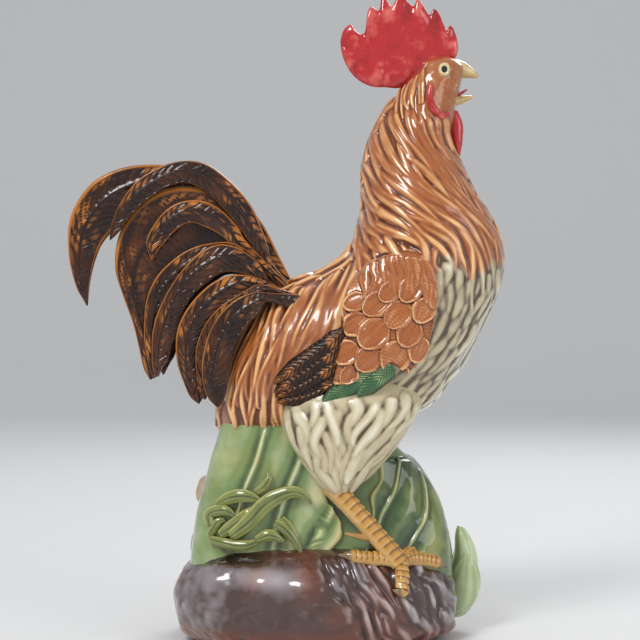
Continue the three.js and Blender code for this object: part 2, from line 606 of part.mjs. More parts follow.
// Bird's shells: right and left halves of the torso and of the neck
function shell(first, last, side, startShift) {
  return largest(body(first, last, { side, startShift }).subtract(cavity).subtract(vent(0, BODY[2].back[1])));
}

const sides = [
  { word: "right", sign: -1 },
  { word: "left", sign: 1 },
];

const head = body(NECK_LAST, BODY_LAST, { startShift: SEAT_GAP });

// Thigh
function thigh(grow, sign) {
  const left = smooth(THIGH.map((s) => [...s.left, s.y]));
  const right = smooth(THIGH.map((s) => [...s.right, s.halfDepth]));
  return loft(steps(0, THIGH.length - 1, 1).map((t) => {
    const a = left(t);
    const b = right(t);
    const half = Math.hypot(b.x - a.x, b.y - a.y) / 2;
    return Array.from({ length: THIGH_ARC }, (_, j) => {
      const angle = (2 * Math.PI * j) / THIGH_ARC;
      const along = 0.5 + 0.5 * (1 + grow / half) * Math.cos(angle);
      const out = (b.z + grow) * Math.sin(angle);
      return new THREE.Vector3(a.x + (b.x - a.x) * along, sign * (a.z + out), a.y + (b.y - a.y) * along);
    });
  }));
}

// A tapered tube through points in space
function tube(points, radiusAt, arc, count) {
  const curve = new THREE.CatmullRomCurve3(points);
  const up = new THREE.Vector3(0, 0, 1);
  return loft(Array.from({ length: count + 1 }, (_, i) => {
    const u = i / count;
    const here = curve.getPointAt(u);
    const ahead = curve.getTangentAt(u);
    const sideways = new THREE.Vector3().crossVectors(ahead, up).normalize();
    const over = new THREE.Vector3().crossVectors(sideways, ahead).normalize();
    return Array.from({ length: arc }, (_, j) => {
      const angle = (2 * Math.PI * j) / arc;
      return here.clone()
        .addScaledVector(sideways, radiusAt(u) * Math.cos(angle))
        .addScaledVector(over, radiusAt(u) * Math.sin(angle));
    });
  }));
}

const footX = ROCK_FRONT_X - FOOT_END_INSET;
const footY = ROCK_DEPTH / 2 - FOOT_SIDE_INSET;

function toe({ reach: [dx, dy], bow }, sign, grow) {
  const lift = TOE_RADIUS * (1 - 2 * TOE_SINK_SHARE);
  const path = [0, 0.35, 0.7, 1].map((u) => {
    const x = footX + dx * u;
    const y = sign * (footY - dy * u - bow * Math.sin(Math.PI * u));
    const point = onRock(x, y);
    point.z += lift * (1 - 0.6 * u);
    return point;
  });
  const radius = (u) => TOE_RADIUS + (TOE_TIP_RADIUS - TOE_RADIUS) * u ** 3 + grow;
  return tube(path, radius, 6, 4);
}

function foot(sign, grow) {
  return TOES.map((t) => toe(t, sign, grow)).reduce((a, b) => a.add(b));
}

function shank(sign, grow) {
  const hock = new THREE.Vector3(HOCK[0], sign * HOCK[1], HOCK[2]);
  const ankle = onRock(footX, sign * footY);
  ankle.z += TOE_RADIUS * 0.5;
  const ridge = (u) => SCUTE_DEPTH * Math.abs(Math.sin(Math.PI * SCUTE_COUNT * u));
  const radius = (u) => SHANK_TOP_RADIUS + (SHANK_FOOT_RADIUS - SHANK_TOP_RADIUS) * u + ridge(u) + grow;
  const bone = tube([hock, hock.clone().lerp(ankle, 0.5), ankle], radius, 8, 2 * SCUTE_COUNT);
  const root = hock.clone().lerp(ankle, SPUR_SHARE);
  const tip = root.clone().add(new THREE.Vector3(-SPUR_LENGTH, sign * 2, SPUR_LENGTH * 0.12));
  return bone.add(tube([root, root.clone().lerp(tip, 0.5), tip], (u) => SPUR_RADIUS * (1 - 0.75 * u) + grow, 6, 3));
}

// Wing plate on one side of the body
function wingPlate({ outline, stand }, sign) {
  const depth = BODY[5].halfWidth + 2 * stand;
  const near = outlinePrism(outline, sign < 0 ? -depth : depth / 4, sign < 0 ? -depth / 4 : depth);
  return fit(body(3, 9, { grow: stand, arc: 12, step: 0.5 }).intersect(near), bodyBlock);
}

// Comb: an upright plate standing on the head
function comb() {
  const corners = COMB_OUTLINE.map(([x, z]) => new THREE.Vector3(x, z, 0));
  const curve = new THREE.CatmullRomCurve3(corners, true, "catmullrom", 0.5);
  const rim = curve.getPoints(2 * corners.length).slice(0, -1).map((p) => [p.x, p.y]);
  return outlinePrism(rim, -COMB_THICKNESS / 2, COMB_THICKNESS / 2);
}

function ellipsoid({ at, radii }, grow) {
  const ball = new THREE.SphereGeometry(1, 14, 8);
  ball.scale(...radii.map((r) => r + grow));
  ball.translate(...at);
  return solid(ball);
}

function eye(sign) {
  const [x, z] = EYE.at;
  const ball = new THREE.SphereGeometry(EYE.radius, 10, 6);
  ball.translate(x, sign * (bodyDepthAt(x, z) - EYE.radius * 0.45), z);
  return fit(solid(ball), bodyBlock);
}

const pieces = [];
const add = (name, manifold, colour) => pieces.push({ name, manifold, colour });

add("rock_base", rockBase, "rock");
add("leaf_mound", moundCore, "mound");
add("rear_leaf", wrapLeaf(REAR_LEAF), "leaf");
add("front_leaf", wrapLeaf(FRONT_LEAF), "leaf");
add("rear_boulder", fit(ellipsoid(BOULDER, 0), rockCutter, leafCutter), "rock");
add("pebble", fit(ellipsoid(PEBBLE, 0), rockCutter, leafCutter, ellipsoid(BOULDER, SEAT_GAP)), "pebble");

// Grass blades lie on the leaf, and each is fitted round those before it
const grassDepth = (x, z) => -(moundDepthAt(x, z) + LEAF_THICKNESS + GRASS_DEPTH * (1 - GRASS_SINK_SHARE));

function grassBlade(rows, grow) {
  const stations = rows.map(([x, z, half]) => ({ at: [x, z], radii: [half, Math.min(half * 1.2, GRASS_DEPTH)] }));
  return rod(stations, grassDepth, { grow, arc: GRASS_ARC, step: 0.6 });
}

GRASS.forEach((rows, i) => {
  const before = GRASS.slice(0, i).map((r) => grassBlade(r, SEAT_GAP));
  add("grass_blade_" + (i + 1), fit(grassBlade(rows, 0), leafCutter, rockCutter, ...before), "grass");
});

// Bud with a sheath on each side
function budRod(extra) {
  const stations = BUD.map(({ past, radii }) => ({ at: pastRock(past), radii: radii.map((r) => r + extra) }));
  return rod(stations, BUD_Y, { arc: 12, step: 0.7 });
}

add("bud", fit(budRod(0), rockCutter, leafCutter), "bud");
for (const { name, outline, from, to } of BUD_SHEATHS) {
  const skin = budRod(BUD_SHEATH_THICKNESS).intersect(outlinePrism(outline.map(pastRock), from, to));
  add(name, fit(skin, budRod(SEAT_GAP), rockCutter, leafCutter), "bud");
}

// Bird
for (const { word, sign } of sides) {
  add("torso_shell_" + word, shell(0, TORSO_LAST, sign, 0), "brown");
  add("neck_shell_" + word, shell(TORSO_LAST, NECK_LAST, sign, SEAT_GAP), "brown");
}
add("head", head, "face");
add("comb", fit(comb(), bodyBlock, rod(UPPER_BEAK, 0, { grow: SEAT_GAP })), "red");
add("upper_beak", fit(rod(UPPER_BEAK, 0), bodyBlock), "horn");
add("lower_beak", fit(rod(LOWER_BEAK, 0), bodyBlock), "horn");
add("tongue", fit(rod(TONGUE, 0, { arc: 6 }), bodyBlock, rod(LOWER_BEAK, 0, { grow: SEAT_GAP })), "red");

for (const { word, sign } of sides) {
  const thighBlock = thigh(SEAT_GAP, sign);
  add("thigh_" + word, fit(thigh(0, sign), bodyBlock, leafCutter, moundCutter), "cream");
  add("wing_coverts_" + word, fit(wingPlate(COVERTS, sign), thighBlock), "brown");
  add("green_coverts_" + word, fit(wingPlate(GREEN_COVERTS, sign), thighBlock), "green");
  add("flight_feathers_" + word, fit(wingPlate(FLIGHT_FEATHERS, sign), thighBlock), "black");

  const footBlock = foot(sign, SEAT_GAP);
  const budBlock = budRod(BUD_SHEATH_THICKNESS + SEAT_GAP);
  add("shank_" + word, fit(shank(sign, 0), thighBlock, footBlock, leafCutter, rockCutter), "yellow");
  add("foot_" + word, fit(foot(sign, 0), rockCutter, leafCutter, budBlock), "yellow");

  const beakBlock = rod(LOWER_BEAK, 0, { grow: SEAT_GAP });
  const wattle = (grow) => rod(WATTLE, sign * WATTLE_SPREAD, { grow });
  const lobeDepth = (x, z) => sign * (bodyDepthAt(x, z) + EAR_LOBE_LIFT);
  add("eye_" + word, eye(sign), "eye");
  add("wattle_" + word, fit(wattle(0), bodyBlock, beakBlock), "red");
  add("ear_lobe_" + word, fit(rod(EAR_LOBE, lobeDepth), bodyBlock, wattle(SEAT_GAP)), "red");
}

// Tail: each blade is fitted under the ones outside it
const rightOnly = [SHORT_SICKLE, MAIN_SICKLE];
const blades = [
  ...SIDE_BLADES.map((b) => ({ ...b, name: b.name + "_right", y: -b.y })),
  ...rightOnly.map((b) => ({ ...b, y: -b.y })),
  { ...GREAT_COVERT, name: GREAT_COVERT.name + "_right", y: -GREAT_COVERT.y },
  ...SIDE_BLADES.map((b) => ({ ...b, name: b.name + "_left", y: b.y + LEFT_SIDE_SHIFT })),
  { ...GREAT_COVERT, name: GREAT_COVERT.name + "_left", y: GREAT_COVERT.y + LEFT_SIDE_SHIFT },
  REAR_SICKLE,
];
blades.forEach((made, i) => {
  const near = blades.slice(0, i).filter((b) => Math.abs(b.y - made.y) < 2 * BLADE_THICKNESS);
  add(made.name, fit(blade(made), bodyBlock, ...near.map((b) => blade(b, SEAT_GAP))), "black");
});

// Everything above the rock moves with its top, and the whole stands on the table, centred on its own outline.
const figurine = new THREE.Group();
const perched = new THREE.Group();
perched.position.z = ROCK_HEIGHT;
figurine.add(perched);
for (const { name, manifold, colour } of pieces) {
  const mesh = new THREE.Mesh(geometryOf(manifold), material(colour));
  mesh.name = name;
  perched.add(mesh);
}
const outline = new THREE.Box3().setFromObject(figurine);
const middle = outline.getCenter(new THREE.Vector3());
figurine.position.set(-middle.x, -middle.y, -outline.min.z);

export default figurine;
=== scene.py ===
"""Glazed ceramic rooster on a rock.

Every piece is a closed surface through rings of points, worked out as whole numpy arrays. Plumage is built
the way it is carved: long ridges are laid one over another on a smooth skin, and each vertex keeps how far
it lies above its surroundings, so that the glaze can pool dark in the grooves and break pale on the ridges.

Lengths in the shape functions are millimetres from the top of the rock, with X towards the beak and Z up.
Lines on the plumage are given as view points: what the camera sees, right and down, 0.62 mm apart in the
middle plane.
"""

import math
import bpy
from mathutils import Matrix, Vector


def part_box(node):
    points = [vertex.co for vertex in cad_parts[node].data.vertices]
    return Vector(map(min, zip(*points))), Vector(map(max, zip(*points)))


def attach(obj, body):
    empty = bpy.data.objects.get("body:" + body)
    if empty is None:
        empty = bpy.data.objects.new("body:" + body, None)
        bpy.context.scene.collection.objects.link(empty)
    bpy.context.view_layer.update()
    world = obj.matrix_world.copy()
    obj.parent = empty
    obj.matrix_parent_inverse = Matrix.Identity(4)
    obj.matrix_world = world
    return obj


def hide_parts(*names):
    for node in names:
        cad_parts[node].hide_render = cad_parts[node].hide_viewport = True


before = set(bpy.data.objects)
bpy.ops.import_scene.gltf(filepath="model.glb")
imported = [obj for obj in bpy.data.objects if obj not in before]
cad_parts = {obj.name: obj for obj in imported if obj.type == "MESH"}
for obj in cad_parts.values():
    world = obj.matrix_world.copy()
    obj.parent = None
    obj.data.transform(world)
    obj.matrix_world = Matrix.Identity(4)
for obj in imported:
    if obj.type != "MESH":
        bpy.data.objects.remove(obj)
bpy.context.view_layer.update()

import bpy
import numpy as np
from mathutils import Vector

bl_info = {
    "name": "Ceramic rooster",
    "version": (1, 0, 0),
    "blender": (4, 5, 0),
    "location": "3D View > Sidebar > Rooster",
    "description": "Builds the skins and glazes of a ceramic rooster figurine on its solid model",
    "category": "Add Mesh",
}

# Width of a view point in the middle plane, the camera's place and the view point that it looks at
POINT = 0.62
CAMERA_AWAY = 1000.0
CAMERA_HEIGHT = 135.0
VIEW_MIDDLE = 320.0

# Rock, as in the solid model
ROCK_LENGTH = 180.0
ROCK_DEPTH = 124.0
ROCK_HEIGHT = 60.0
ROCK_WAIST = 21.0
ROCK_UNDERCUT = 29.0
ROCK_CENTRE = -4.0
ROCK_PLAN_POWER = 2.5
ROCK_SIDE_POWER = 3.0
ROCK_WALL = 9.0
ROCK_DENT = 3.4
ROCK_WAVES = ((9, 9.0, 0.0), (5, -13.0, 1.3))
ROCK_FRONT = ROCK_CENTRE + ROCK_LENGTH / 2
SHOULDER_SHARE = 0.985
VENT_X = -12.0
VENT_RADIUS = 9.0


def rock_plan(angle):
    """Reach of the rock's waist in a direction: a superellipse with three and five low lobes."""
    along = np.abs(np.cos(angle) / (ROCK_LENGTH / 2)) ** ROCK_PLAN_POWER
    across = np.abs(np.sin(angle) / (ROCK_DEPTH / 2)) ** ROCK_PLAN_POWER
    lobes = 1 + 0.02 * np.sin(3 * angle + 0.7) + 0.015 * np.sin(5 * angle + 2.1)
    return lobes * (along + across) ** (-1 / ROCK_PLAN_POWER)


# The solid model is centred on its own outline, so the front of the head and the comb give its origin back.
HEAD_FRONT = 89.0
ORIGIN = np.array([
    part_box("head")[1][0] * 1000 - HEAD_FRONT,
    (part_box("comb")[0][1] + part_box("comb")[1][1]) * 500,
    ROCK_HEIGHT,
])


# Number helpers


def smooth(rows, t):
    """Catmull-Rom curve through rows at the row number t, which need not be whole."""
    rows = np.asarray(rows, float)
    t = np.clip(np.asarray(t, float), 0, len(rows) - 1)
    padded = np.vstack([2 * rows[0] - rows[1], rows, 2 * rows[-1] - rows[-2]])
    i = np.minimum(t.astype(int), len(rows) - 2)
    f = (t - i)[..., None]
    a, b, c, d = padded[i], padded[i + 1], padded[i + 2], padded[i + 3]
    return 0.5 * (2 * b + (c - a) * f + (2 * a - 5 * b + 4 * c - d) * f**2 + (3 * b - a - 3 * c + d) * f**3)


def run_along(points):
    """Distance from the start along a line of points."""
    return np.concatenate([[0], np.cumsum(np.linalg.norm(np.diff(points, axis=0), axis=1))])


def even(rows, count, dense=600):
    """Row numbers of count places that lie equally far apart along the curve through rows."""
    t = np.linspace(0, len(rows) - 1, dense)
    run = run_along(smooth(rows, t))
    return np.interp(np.linspace(0, run[-1], count), run, t)


def closed_curve(outline, count, dense=1500):
    """Points equally far apart on the closed curve through an outline, starting at its first point."""
    outline = np.asarray(outline, float)
    around = np.vstack([outline[-2:], outline, outline[:3]])
    t = np.linspace(2, len(outline) + 2, dense)
    run = run_along(smooth(around, t))
    return smooth(around, np.interp(np.linspace(0, run[-1], count, endpoint=False), run, t))


def full_turn(count):
    """Angles equally far apart all the way round."""
    return np.linspace(0, 2 * math.pi, count, endpoint=False)


def unit(v):
    """Vectors along the last axis, scaled to length 1."""
    return v / np.maximum(np.linalg.norm(v, axis=-1, keepdims=True), 1e-9)


def signed_power(v, power):
    """Size of v raised to a power, with the sign of v."""
    return np.sign(v) * np.abs(v) ** power


def ease(low, high, v):
    """0 below low, 1 above high, and a smooth step between them."""
    v = np.clip((v - low) / (high - low), 0, 1)
    return v * v * (3 - 2 * v)


def rock_dent(angle, z):
    """Depth of the broad hollows in the rock's side: the product of two slanting waves, which fades in from
    3 to 14 mm below its top."""
    swell = 1.0
    for count, slant, turn in ROCK_WAVES:
        swell = swell * np.sin(count * angle + z / slant + turn)
    return ROCK_DENT * (0.5 - 0.5 * swell) * ease(3, 14, -z)


def bell(v, middle, width):
    """1 at the middle, falling away on both sides."""
    return np.exp(-(((v - middle) / width) ** 2))


def noise(p, size, seed=0):
    """Smooth value noise from -1 to 1 over points p: random numbers on a lattice of that size, with an ease
    between them."""
    q = np.asarray(p, float) / size + 37.7 * (seed + 1)
    cell = np.floor(q).astype(np.int64)
    f = q - cell
    f = f * f * (3 - 2 * f)
    total = 0
    for corner in np.ndindex(*(2,) * q.shape[-1]):
        at = cell + np.array(corner)
        h = (at * np.array([73856093, 19349663, 83492791])[: q.shape[-1]]).sum(-1) ^ (seed * 2654435 + 97)
        h = ((h ^ (h >> 13)) * 1274126177) & 0x7FFFFFFF
        h = (h ^ (h >> 16)) & 0xFFFF
        total = total + np.prod(np.where(np.array(corner) == 1, f, 1 - f), axis=-1) * (h / 32767.5 - 1)
    return total


def layered(p, size, seed=0, octaves=3):
    """Noise in halving sizes and strengths."""
    return sum(noise(p, size / 2**k, seed + k) / 2**k for k in range(octaves)) / (2 - 2.0 ** (1 - octaves))


def blur(grid, times, wrap):
    """Grid averaged with its four neighbours, again and again."""
    for _ in range(times):
        up = np.vstack([grid[:1], grid[:-1]])
        down = np.vstack([grid[1:], grid[-1:]])
        left = np.roll(grid, 1, 1) if wrap else np.hstack([grid[:, :1], grid[:, :-1]])
        right = np.roll(grid, -1, 1) if wrap else np.hstack([grid[:, 1:], grid[:, -1:]])
        grid = (2 * grid + up + down + left + right) / 6
    return grid


def normals(p, wrap):
    """Unit normals of a grid of points, by the cross product of its two differences."""
    across = (np.roll(p, -1, 1) - np.roll(p, 1, 1)) / 2 if wrap else np.gradient(p, axis=1)
    return unit(np.cross(np.gradient(p, axis=0), across))


def from_view(points, depth):
    """Side view millimetres of view points that lie at that depth behind the middle plane."""
    points = np.asarray(points, float)
    k = POINT * (1 + np.asarray(depth) / CAMERA_AWAY)
    x = (points[..., 0] - VIEW_MIDDLE) * k
    z = CAMERA_HEIGHT + (VIEW_MIDDLE - points[..., 1]) * k
    return np.stack([x, z], -1)


def seen_at(place):
    """The view point, right and down, at which the camera sees a place."""
    k = POINT * (1 + place[..., 1] / CAMERA_AWAY)
    return VIEW_MIDDLE + place[..., 0] / k, VIEW_MIDDLE - (place[..., 2] - CAMERA_HEIGHT) / k


# Meshes

FIELDS = ("relief", "tone", "zone", "along", "across")
FIELD_REST = {"relief": 0.5, "tone": 0.5}


def ring_faces(n, m, loop):
    """Quads between n neighbouring rings of m points, and a fan of triangles from each of two end points to
    the first and last ring. A loop has no fans: its last ring meets the first."""
    i, j = np.meshgrid(np.arange(n if loop else n - 1), np.arange(m), indexing="ij")
    k, low = (j + 1) % m, (i + 1) % n
    quads = np.stack([i * m + j, i * m + k, low * m + k, low * m + j], -1).reshape(-1, 4)
    if loop:
        return quads, np.zeros((0, 3), int)
    j = np.arange(m)
    k = (j + 1) % m
    first = np.stack([np.full(m, n * m), k, j], -1)
    last = np.stack([np.full(m, n * m + 1), (n - 1) * m + j, (n - 1) * m + k], -1)
    return quads, np.vstack([first, last])


def piece(name, nodes, material, shells):
    """One object from closed surfaces, each given as (rings, fields). A surface is closed by a point at the
    middle of its first and last ring, unless its fields say loop. Faces are turned outwards by the sign of
    the volume. The other fields give a value for each point, which the glaze reads as an attribute."""
    points, corners, sizes, values, start = [], [], [], {f: [] for f in FIELDS}, 0
    for rings, fields in shells:
        n, m = rings.shape[:2]
        loop = fields.get("loop", False)
        verts = rings.reshape(-1, 3)
        if not loop:
            verts = np.vstack([verts, rings[0].mean(0), rings[-1].mean(0)])
        quads, fans = ring_faces(n, m, loop)
        triangles = np.vstack([quads[:, [0, 1, 2]], quads[:, [0, 2, 3]], fans])
        a, b, c = (verts[triangles[:, x]] for x in range(3))
        if np.einsum("ij,ij->", a, np.cross(b, c)) < 0:
            quads, fans = quads[:, ::-1], fans[:, ::-1]
        points.append(verts)
        corners += [(quads + start).reshape(-1), (fans + start).reshape(-1)]
        sizes += [np.full(len(quads), 4), np.full(len(fans), 3)]
        for f in FIELDS:
            grid = np.broadcast_to(np.asarray(fields.get(f, FIELD_REST.get(f, 0.0)), float), (n, m))
            ends = [] if loop else [grid[0].mean(), grid[-1].mean()]
            values[f].append(np.concatenate([grid.reshape(-1), ends]))
        start += len(verts)
    name = name + "_skin"
    mesh = bpy.data.meshes.new(name)
    co = (np.vstack(points) + ORIGIN) / 1000
    corners, sizes = np.concatenate(corners), np.concatenate(sizes)
    mesh.vertices.add(len(co))
    mesh.vertices.foreach_set("co", co.reshape(-1))
    mesh.loops.add(len(corners))
    mesh.loops.foreach_set("vertex_index", corners)
    mesh.polygons.add(len(sizes))
    mesh.polygons.foreach_set("loop_start", np.concatenate([[0], np.cumsum(sizes)[:-1]]))
    mesh.polygons.foreach_set("use_smooth", np.ones(len(sizes), bool))
    mesh.update(calc_edges=True)
    for f in FIELDS:
        mesh.attributes.new(f, "FLOAT", "POINT").data.foreach_set("value", np.concatenate(values[f]))
    mesh.materials.append(material)
    obj = bpy.data.objects.new(name, mesh)
    bpy.context.scene.collection.objects.link(obj)
    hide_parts(*nodes)
    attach(obj, "root")


def mirrored(shell):
    """The same shell on the other side of the middle plane."""
    return shell[0] * np.array([1, -1, 1]), shell[1]


def pair(name, material, shells):
    """A piece for the right side and its mirror image for the left."""
    piece(f"{name}_right", [f"{name}_right"], material, shells)
    piece(f"{name}_left", [f"{name}_left"], material, [mirrored(s) for s in shells])


def tube(path, radii, count=24, up=(0, 0, 1), lumps=None):
    """Round rings across a path in space, with lumps that add to their radius."""
    path = np.asarray(path, float)
    ahead = unit(np.gradient(path, axis=0))
    side = unit(np.cross(ahead, np.asarray(up, float)))
    over = np.cross(side, ahead)
    angle = full_turn(count)[None, :, None]
    radii = np.broadcast_to(np.asarray(radii, float).reshape(len(path), -1), (len(path), count))[..., None]
    if lumps is not None:
        radii = radii + lumps[..., None]
    return path[:, None] + radii * (side[:, None] * np.cos(angle) + over[:, None] * np.sin(angle))


# How many sections a form is searched by and how many points it locates at a time, how far past its end a
# section still counts as reaching a point, and what each length past that adds to its distance
SEARCHED = 801
BLOCK = 4000
SECTION_REACH = 1.08
MISS_COST = 60


class Form:
    """A solid of sections that stand across the side view. A row holds the two ends of a section's long
    axis, its half depth and the depth of its middle. With an angle's cosine and sine, each raised to
    2/power with its sign kept, a point lies in the side view at middle + long half axis * cosine, and its
    depth is middle depth + half depth * sine."""

    def __init__(self, rows, power=2.0):
        self.rows = np.array(rows, float)
        self.last = len(rows) - 1.0
        self.power = power
        self.t = np.linspace(0, self.last, SEARCHED)
        self.centre, self.up = self.section(self.t)[:2]
        self.normal = unit(np.stack([self.up[:, 1], -self.up[:, 0]], -1))
        self.tall = np.linalg.norm(self.up, axis=1)

    def section(self, t):
        """Middle and long half axis in the side view, half depth and middle depth of the sections at t."""
        s = smooth(self.rows, t)
        a, b = s[..., 0:2], s[..., 2:4]
        return (a + b) / 2, (a - b) / 2, s[..., 4], s[..., 5]

    def point(self, t, angle, out=0.0):
        """Point on the right side, out from the surface by a distance."""
        centre, up, half, middle = self.section(t)
        tall = np.maximum(np.linalg.norm(up, axis=-1), 0.1)
        along = signed_power(np.cos(angle), 2 / self.power)
        flat = centre + up * ((1 + out / tall) * along)[..., None]
        depth = middle + (half + out) * signed_power(np.sin(angle), 2 / self.power)
        return np.stack([flat[..., 0], -depth, flat[..., 1]], -1)

    def locate(self, flat, out=0.0):
        """Section number and angle of the near point that the side view shows at x, z: of the sections that
        reach so far, the one that passes nearest."""
        flat = np.asarray(flat, float)
        p = flat.reshape(-1, 2)
        best = np.zeros(len(p), int)
        for start in range(0, len(p), BLOCK):
            part = slice(start, start + BLOCK)
            away = p[part, None] - self.centre[None]
            off = np.abs((away * self.normal[None]).sum(-1))
            along = (away * self.up[None]).sum(-1) / (self.tall**2)[None]
            miss = np.maximum(np.abs(along) - SECTION_REACH, 0)
            best[part] = np.argmin(off + MISS_COST * miss, axis=1)
        along = ((p - self.centre[best]) * self.up[best]).sum(-1) / self.tall[best] ** 2
        stretch = 1 + np.broadcast_to(out, flat.shape[:-1]).reshape(-1) / self.tall[best]
        along = np.clip(along / stretch, -1, 1)
        angle = np.arccos(np.clip(signed_power(along, self.power / 2), -1, 1))
        return self.t[best].reshape(flat.shape[:-1]), angle.reshape(flat.shape[:-1])

    def over(self, flat, out=0.0):
        """The point in space over x, z of the side view, out from the surface."""
        t, angle = self.locate(flat, out)
        place = self.point(t, angle, out)
        return np.stack([flat[..., 0], place[..., 1], flat[..., 1]], -1)

    def under_view(self, points, out=0.0):
        """The point in space that the camera sees at view points, by trying the depth three times."""
        points = np.asarray(points, float)
        depth = np.zeros(points.shape[:-1])
        for _ in range(3):
            place = self.over(from_view(points, depth), out)
            depth = place[..., 1]
        return place

    def outward(self, place, out=0.0):
        """Direction out of the form at points on it."""
        t, angle = self.locate(place[..., [0, 2]], out)
        return unit(self.point(t, angle, out + 1.0) - self.point(t, angle, out))


class Skin:
    """A grid of points on which ridges are laid one over another, the highest winning."""

    def __init__(self, points, wrap, inside):
        self.p = points
        self.n = normals(points, wrap)
        if (self.n * (points - inside)).sum() < 0:
            self.n = -self.n
        self.wrap = wrap
        shape = points.shape[:2]
        self.height = np.zeros(shape)
        self.tone = np.full(shape, 0.5)
        self.zone = np.zeros(shape)
        self.along = points[..., 2].copy()
        self.across = np.zeros(shape)

    def lay(self, line, up, half, lift, crown, tone, zone=None, power=0.6, rim=0.0):
        """Lay a ridge along a line in space. half, lift and crown give its half width, the height of its
        edge and how much higher its middle is at each point of the line, and rim how much higher its border
        is. Across the ridge the height is lift + crown * (1 - share of the half width squared) ** power."""
        ahead = unit(np.gradient(line, axis=0))
        side = unit(np.cross(up, ahead))
        run = run_along(line)
        reach = float(np.max(half)) + 1.0
        block = np.all((self.p > line.min(0) - reach) & (self.p < line.max(0) + reach), axis=-1)
        spots = self.p[block]
        if not len(spots):
            return
        gap = (spots**2).sum(1)[:, None] + (line**2).sum(1)[None] - 2 * spots @ line.T
        near = np.argmin(gap, axis=1)
        away = spots - line[near]
        s = run[near] + (away * ahead[near]).sum(-1)
        w = np.maximum(np.interp(s, run, half), 0.05)
        q = (away * side[near]).sum(-1) / w
        deep = np.abs((away * up[near]).sum(-1))
        inside = (np.abs(q) < 1) & (s >= 0) & (s <= run[-1]) & (deep < reach + 4)
        h = np.interp(s, run, lift) + np.interp(s, run, crown) * np.maximum(1 - q**2, 0) ** power
        if rim:
            edge = np.maximum(np.abs(q), 1 - np.clip((run[-1] - s) / np.maximum(w, 0.5), 0, 1))
            h = h + rim * bell(edge, 0.8, 0.16)
        h = np.where(inside, h, -9)
        win = h > self.height[block]
        if np.ndim(zone):
            zone = np.interp(s, run, zone)
        fields = ((self.tone, tone), (self.along, s), (self.across, q), (self.zone, zone))
        for grid, value in ((self.height, h), *fields):
            if value is not None:
                grid[block] = np.where(win, value, grid[block])

    def finish(self, ceiling, soften=1, spread=14, gain=0.75, raised=0.0):
        """Grid moved by its relief, which stays at or under the ceiling, with the fields that the glaze
        reads. raised lifts the relief without a change of those fields."""
        height = blur(self.height, soften, self.wrap)
        hollow = height - blur(height, spread, self.wrap)
        relief = np.clip(0.5 + gain * hollow, 0, 1)
        fields = {"relief": relief, "tone": self.tone, "zone": self.zone, "along": self.along,
                  "across": self.across}
        return self.p + self.n * (np.minimum(height + raised, ceiling) - ceiling)[..., None], fields


def taper(u, root=0.4, tip=0.5):
    """Half width share along a feather: u runs from 0 to 1, one power rounds its root and one points its
    tip."""
    return np.clip(u / 0.22, 0, 1) ** root * np.clip((1 - u) / 0.55, 0, 1) ** tip


# Places along a guide and along a strand, and the fewest that a strand cut off at a guide's end keeps
GUIDE_PLACES = 50
STRAND_PLACES = 30
FEWEST_PLACES = 8


def on_fan(fan, across, along):
    """Points between the guides of a fan, at a guide number and a place number that need not be whole."""
    low, at = across.astype(int), along.astype(int)
    f, g = (across - low)[:, None], (along - at)[:, None]
    return ((fan[low, at] * (1 - f) + fan[low + 1, at] * f) * (1 - g)
            + (fan[low, at + 1] * (1 - f) + fan[low + 1, at + 1] * f) * g)


def lay_strands(skin, form, guides, rng, sizes, places, rows, share, out=0.0, zone=None, wobble=0.3):
    """Long feathers that follow a fan of guide lines given as view points. places is how many stand side by
    side, rows how many follow one another and share the part of a guide that each takes. sizes are its half
    width, the lift of its tip and its crown. They grow out of the smooth skin where the guides start. zone
    is a value, or a function of the view points and of a lucky number for each feather."""
    half, lift, crown = sizes
    fan = np.array([smooth(g, even(g, GUIDE_PLACES)) for g in guides])
    last = GUIDE_PLACES - 1
    u = np.linspace(0, 1, STRAND_PLACES)
    for row in range(rows):
        for column in range(places):
            place = column + rng.uniform(-0.25, 0.25) + 0.5 * (row % 2)
            place = place / max(places - 0.5, 1) * (len(fan) - 1)
            first = (1 - share) * (row / max(rows - 1, 1) + rng.uniform(-0.35, 0.35) / rows)
            s = first + u * share * rng.uniform(0.9, 1.1)
            sway = np.sin(u * rng.uniform(3, 7) + rng.uniform(0, 6.3))
            drift = place + wobble * sway * (len(fan) - 1) / places
            keep = (s >= 0) & (s <= 1)
            if keep.sum() < FEWEST_PLACES:
                continue
            across = np.clip(drift[keep], 0, len(fan) - 1.001)
            seen = on_fan(fan, across, np.clip(s[keep] * last, 0, last - 0.001))
            line = form.under_view(seen, out)
            line[1:-1] = (line[:-2] + 2 * line[1:-1] + line[2:]) / 4
            w = half * rng.uniform(0.8, 1.25) * taper(u[keep])
            born = ease(0, 0.07, s[keep])
            high = lift * rng.uniform(0.3, 1.5) * (0.15 + 0.85 * u[keep]) * born
            mark = zone(seen, rng.uniform(-1, 1)) if callable(zone) else zone
            skin.lay(line, form.outward(line, out), w, high, crown * np.minimum(w / half, 1) * born,
                     rng.uniform(0, 1), mark, power=0.85)


# Bird's body, thigh and leaf mound, as in the solid model

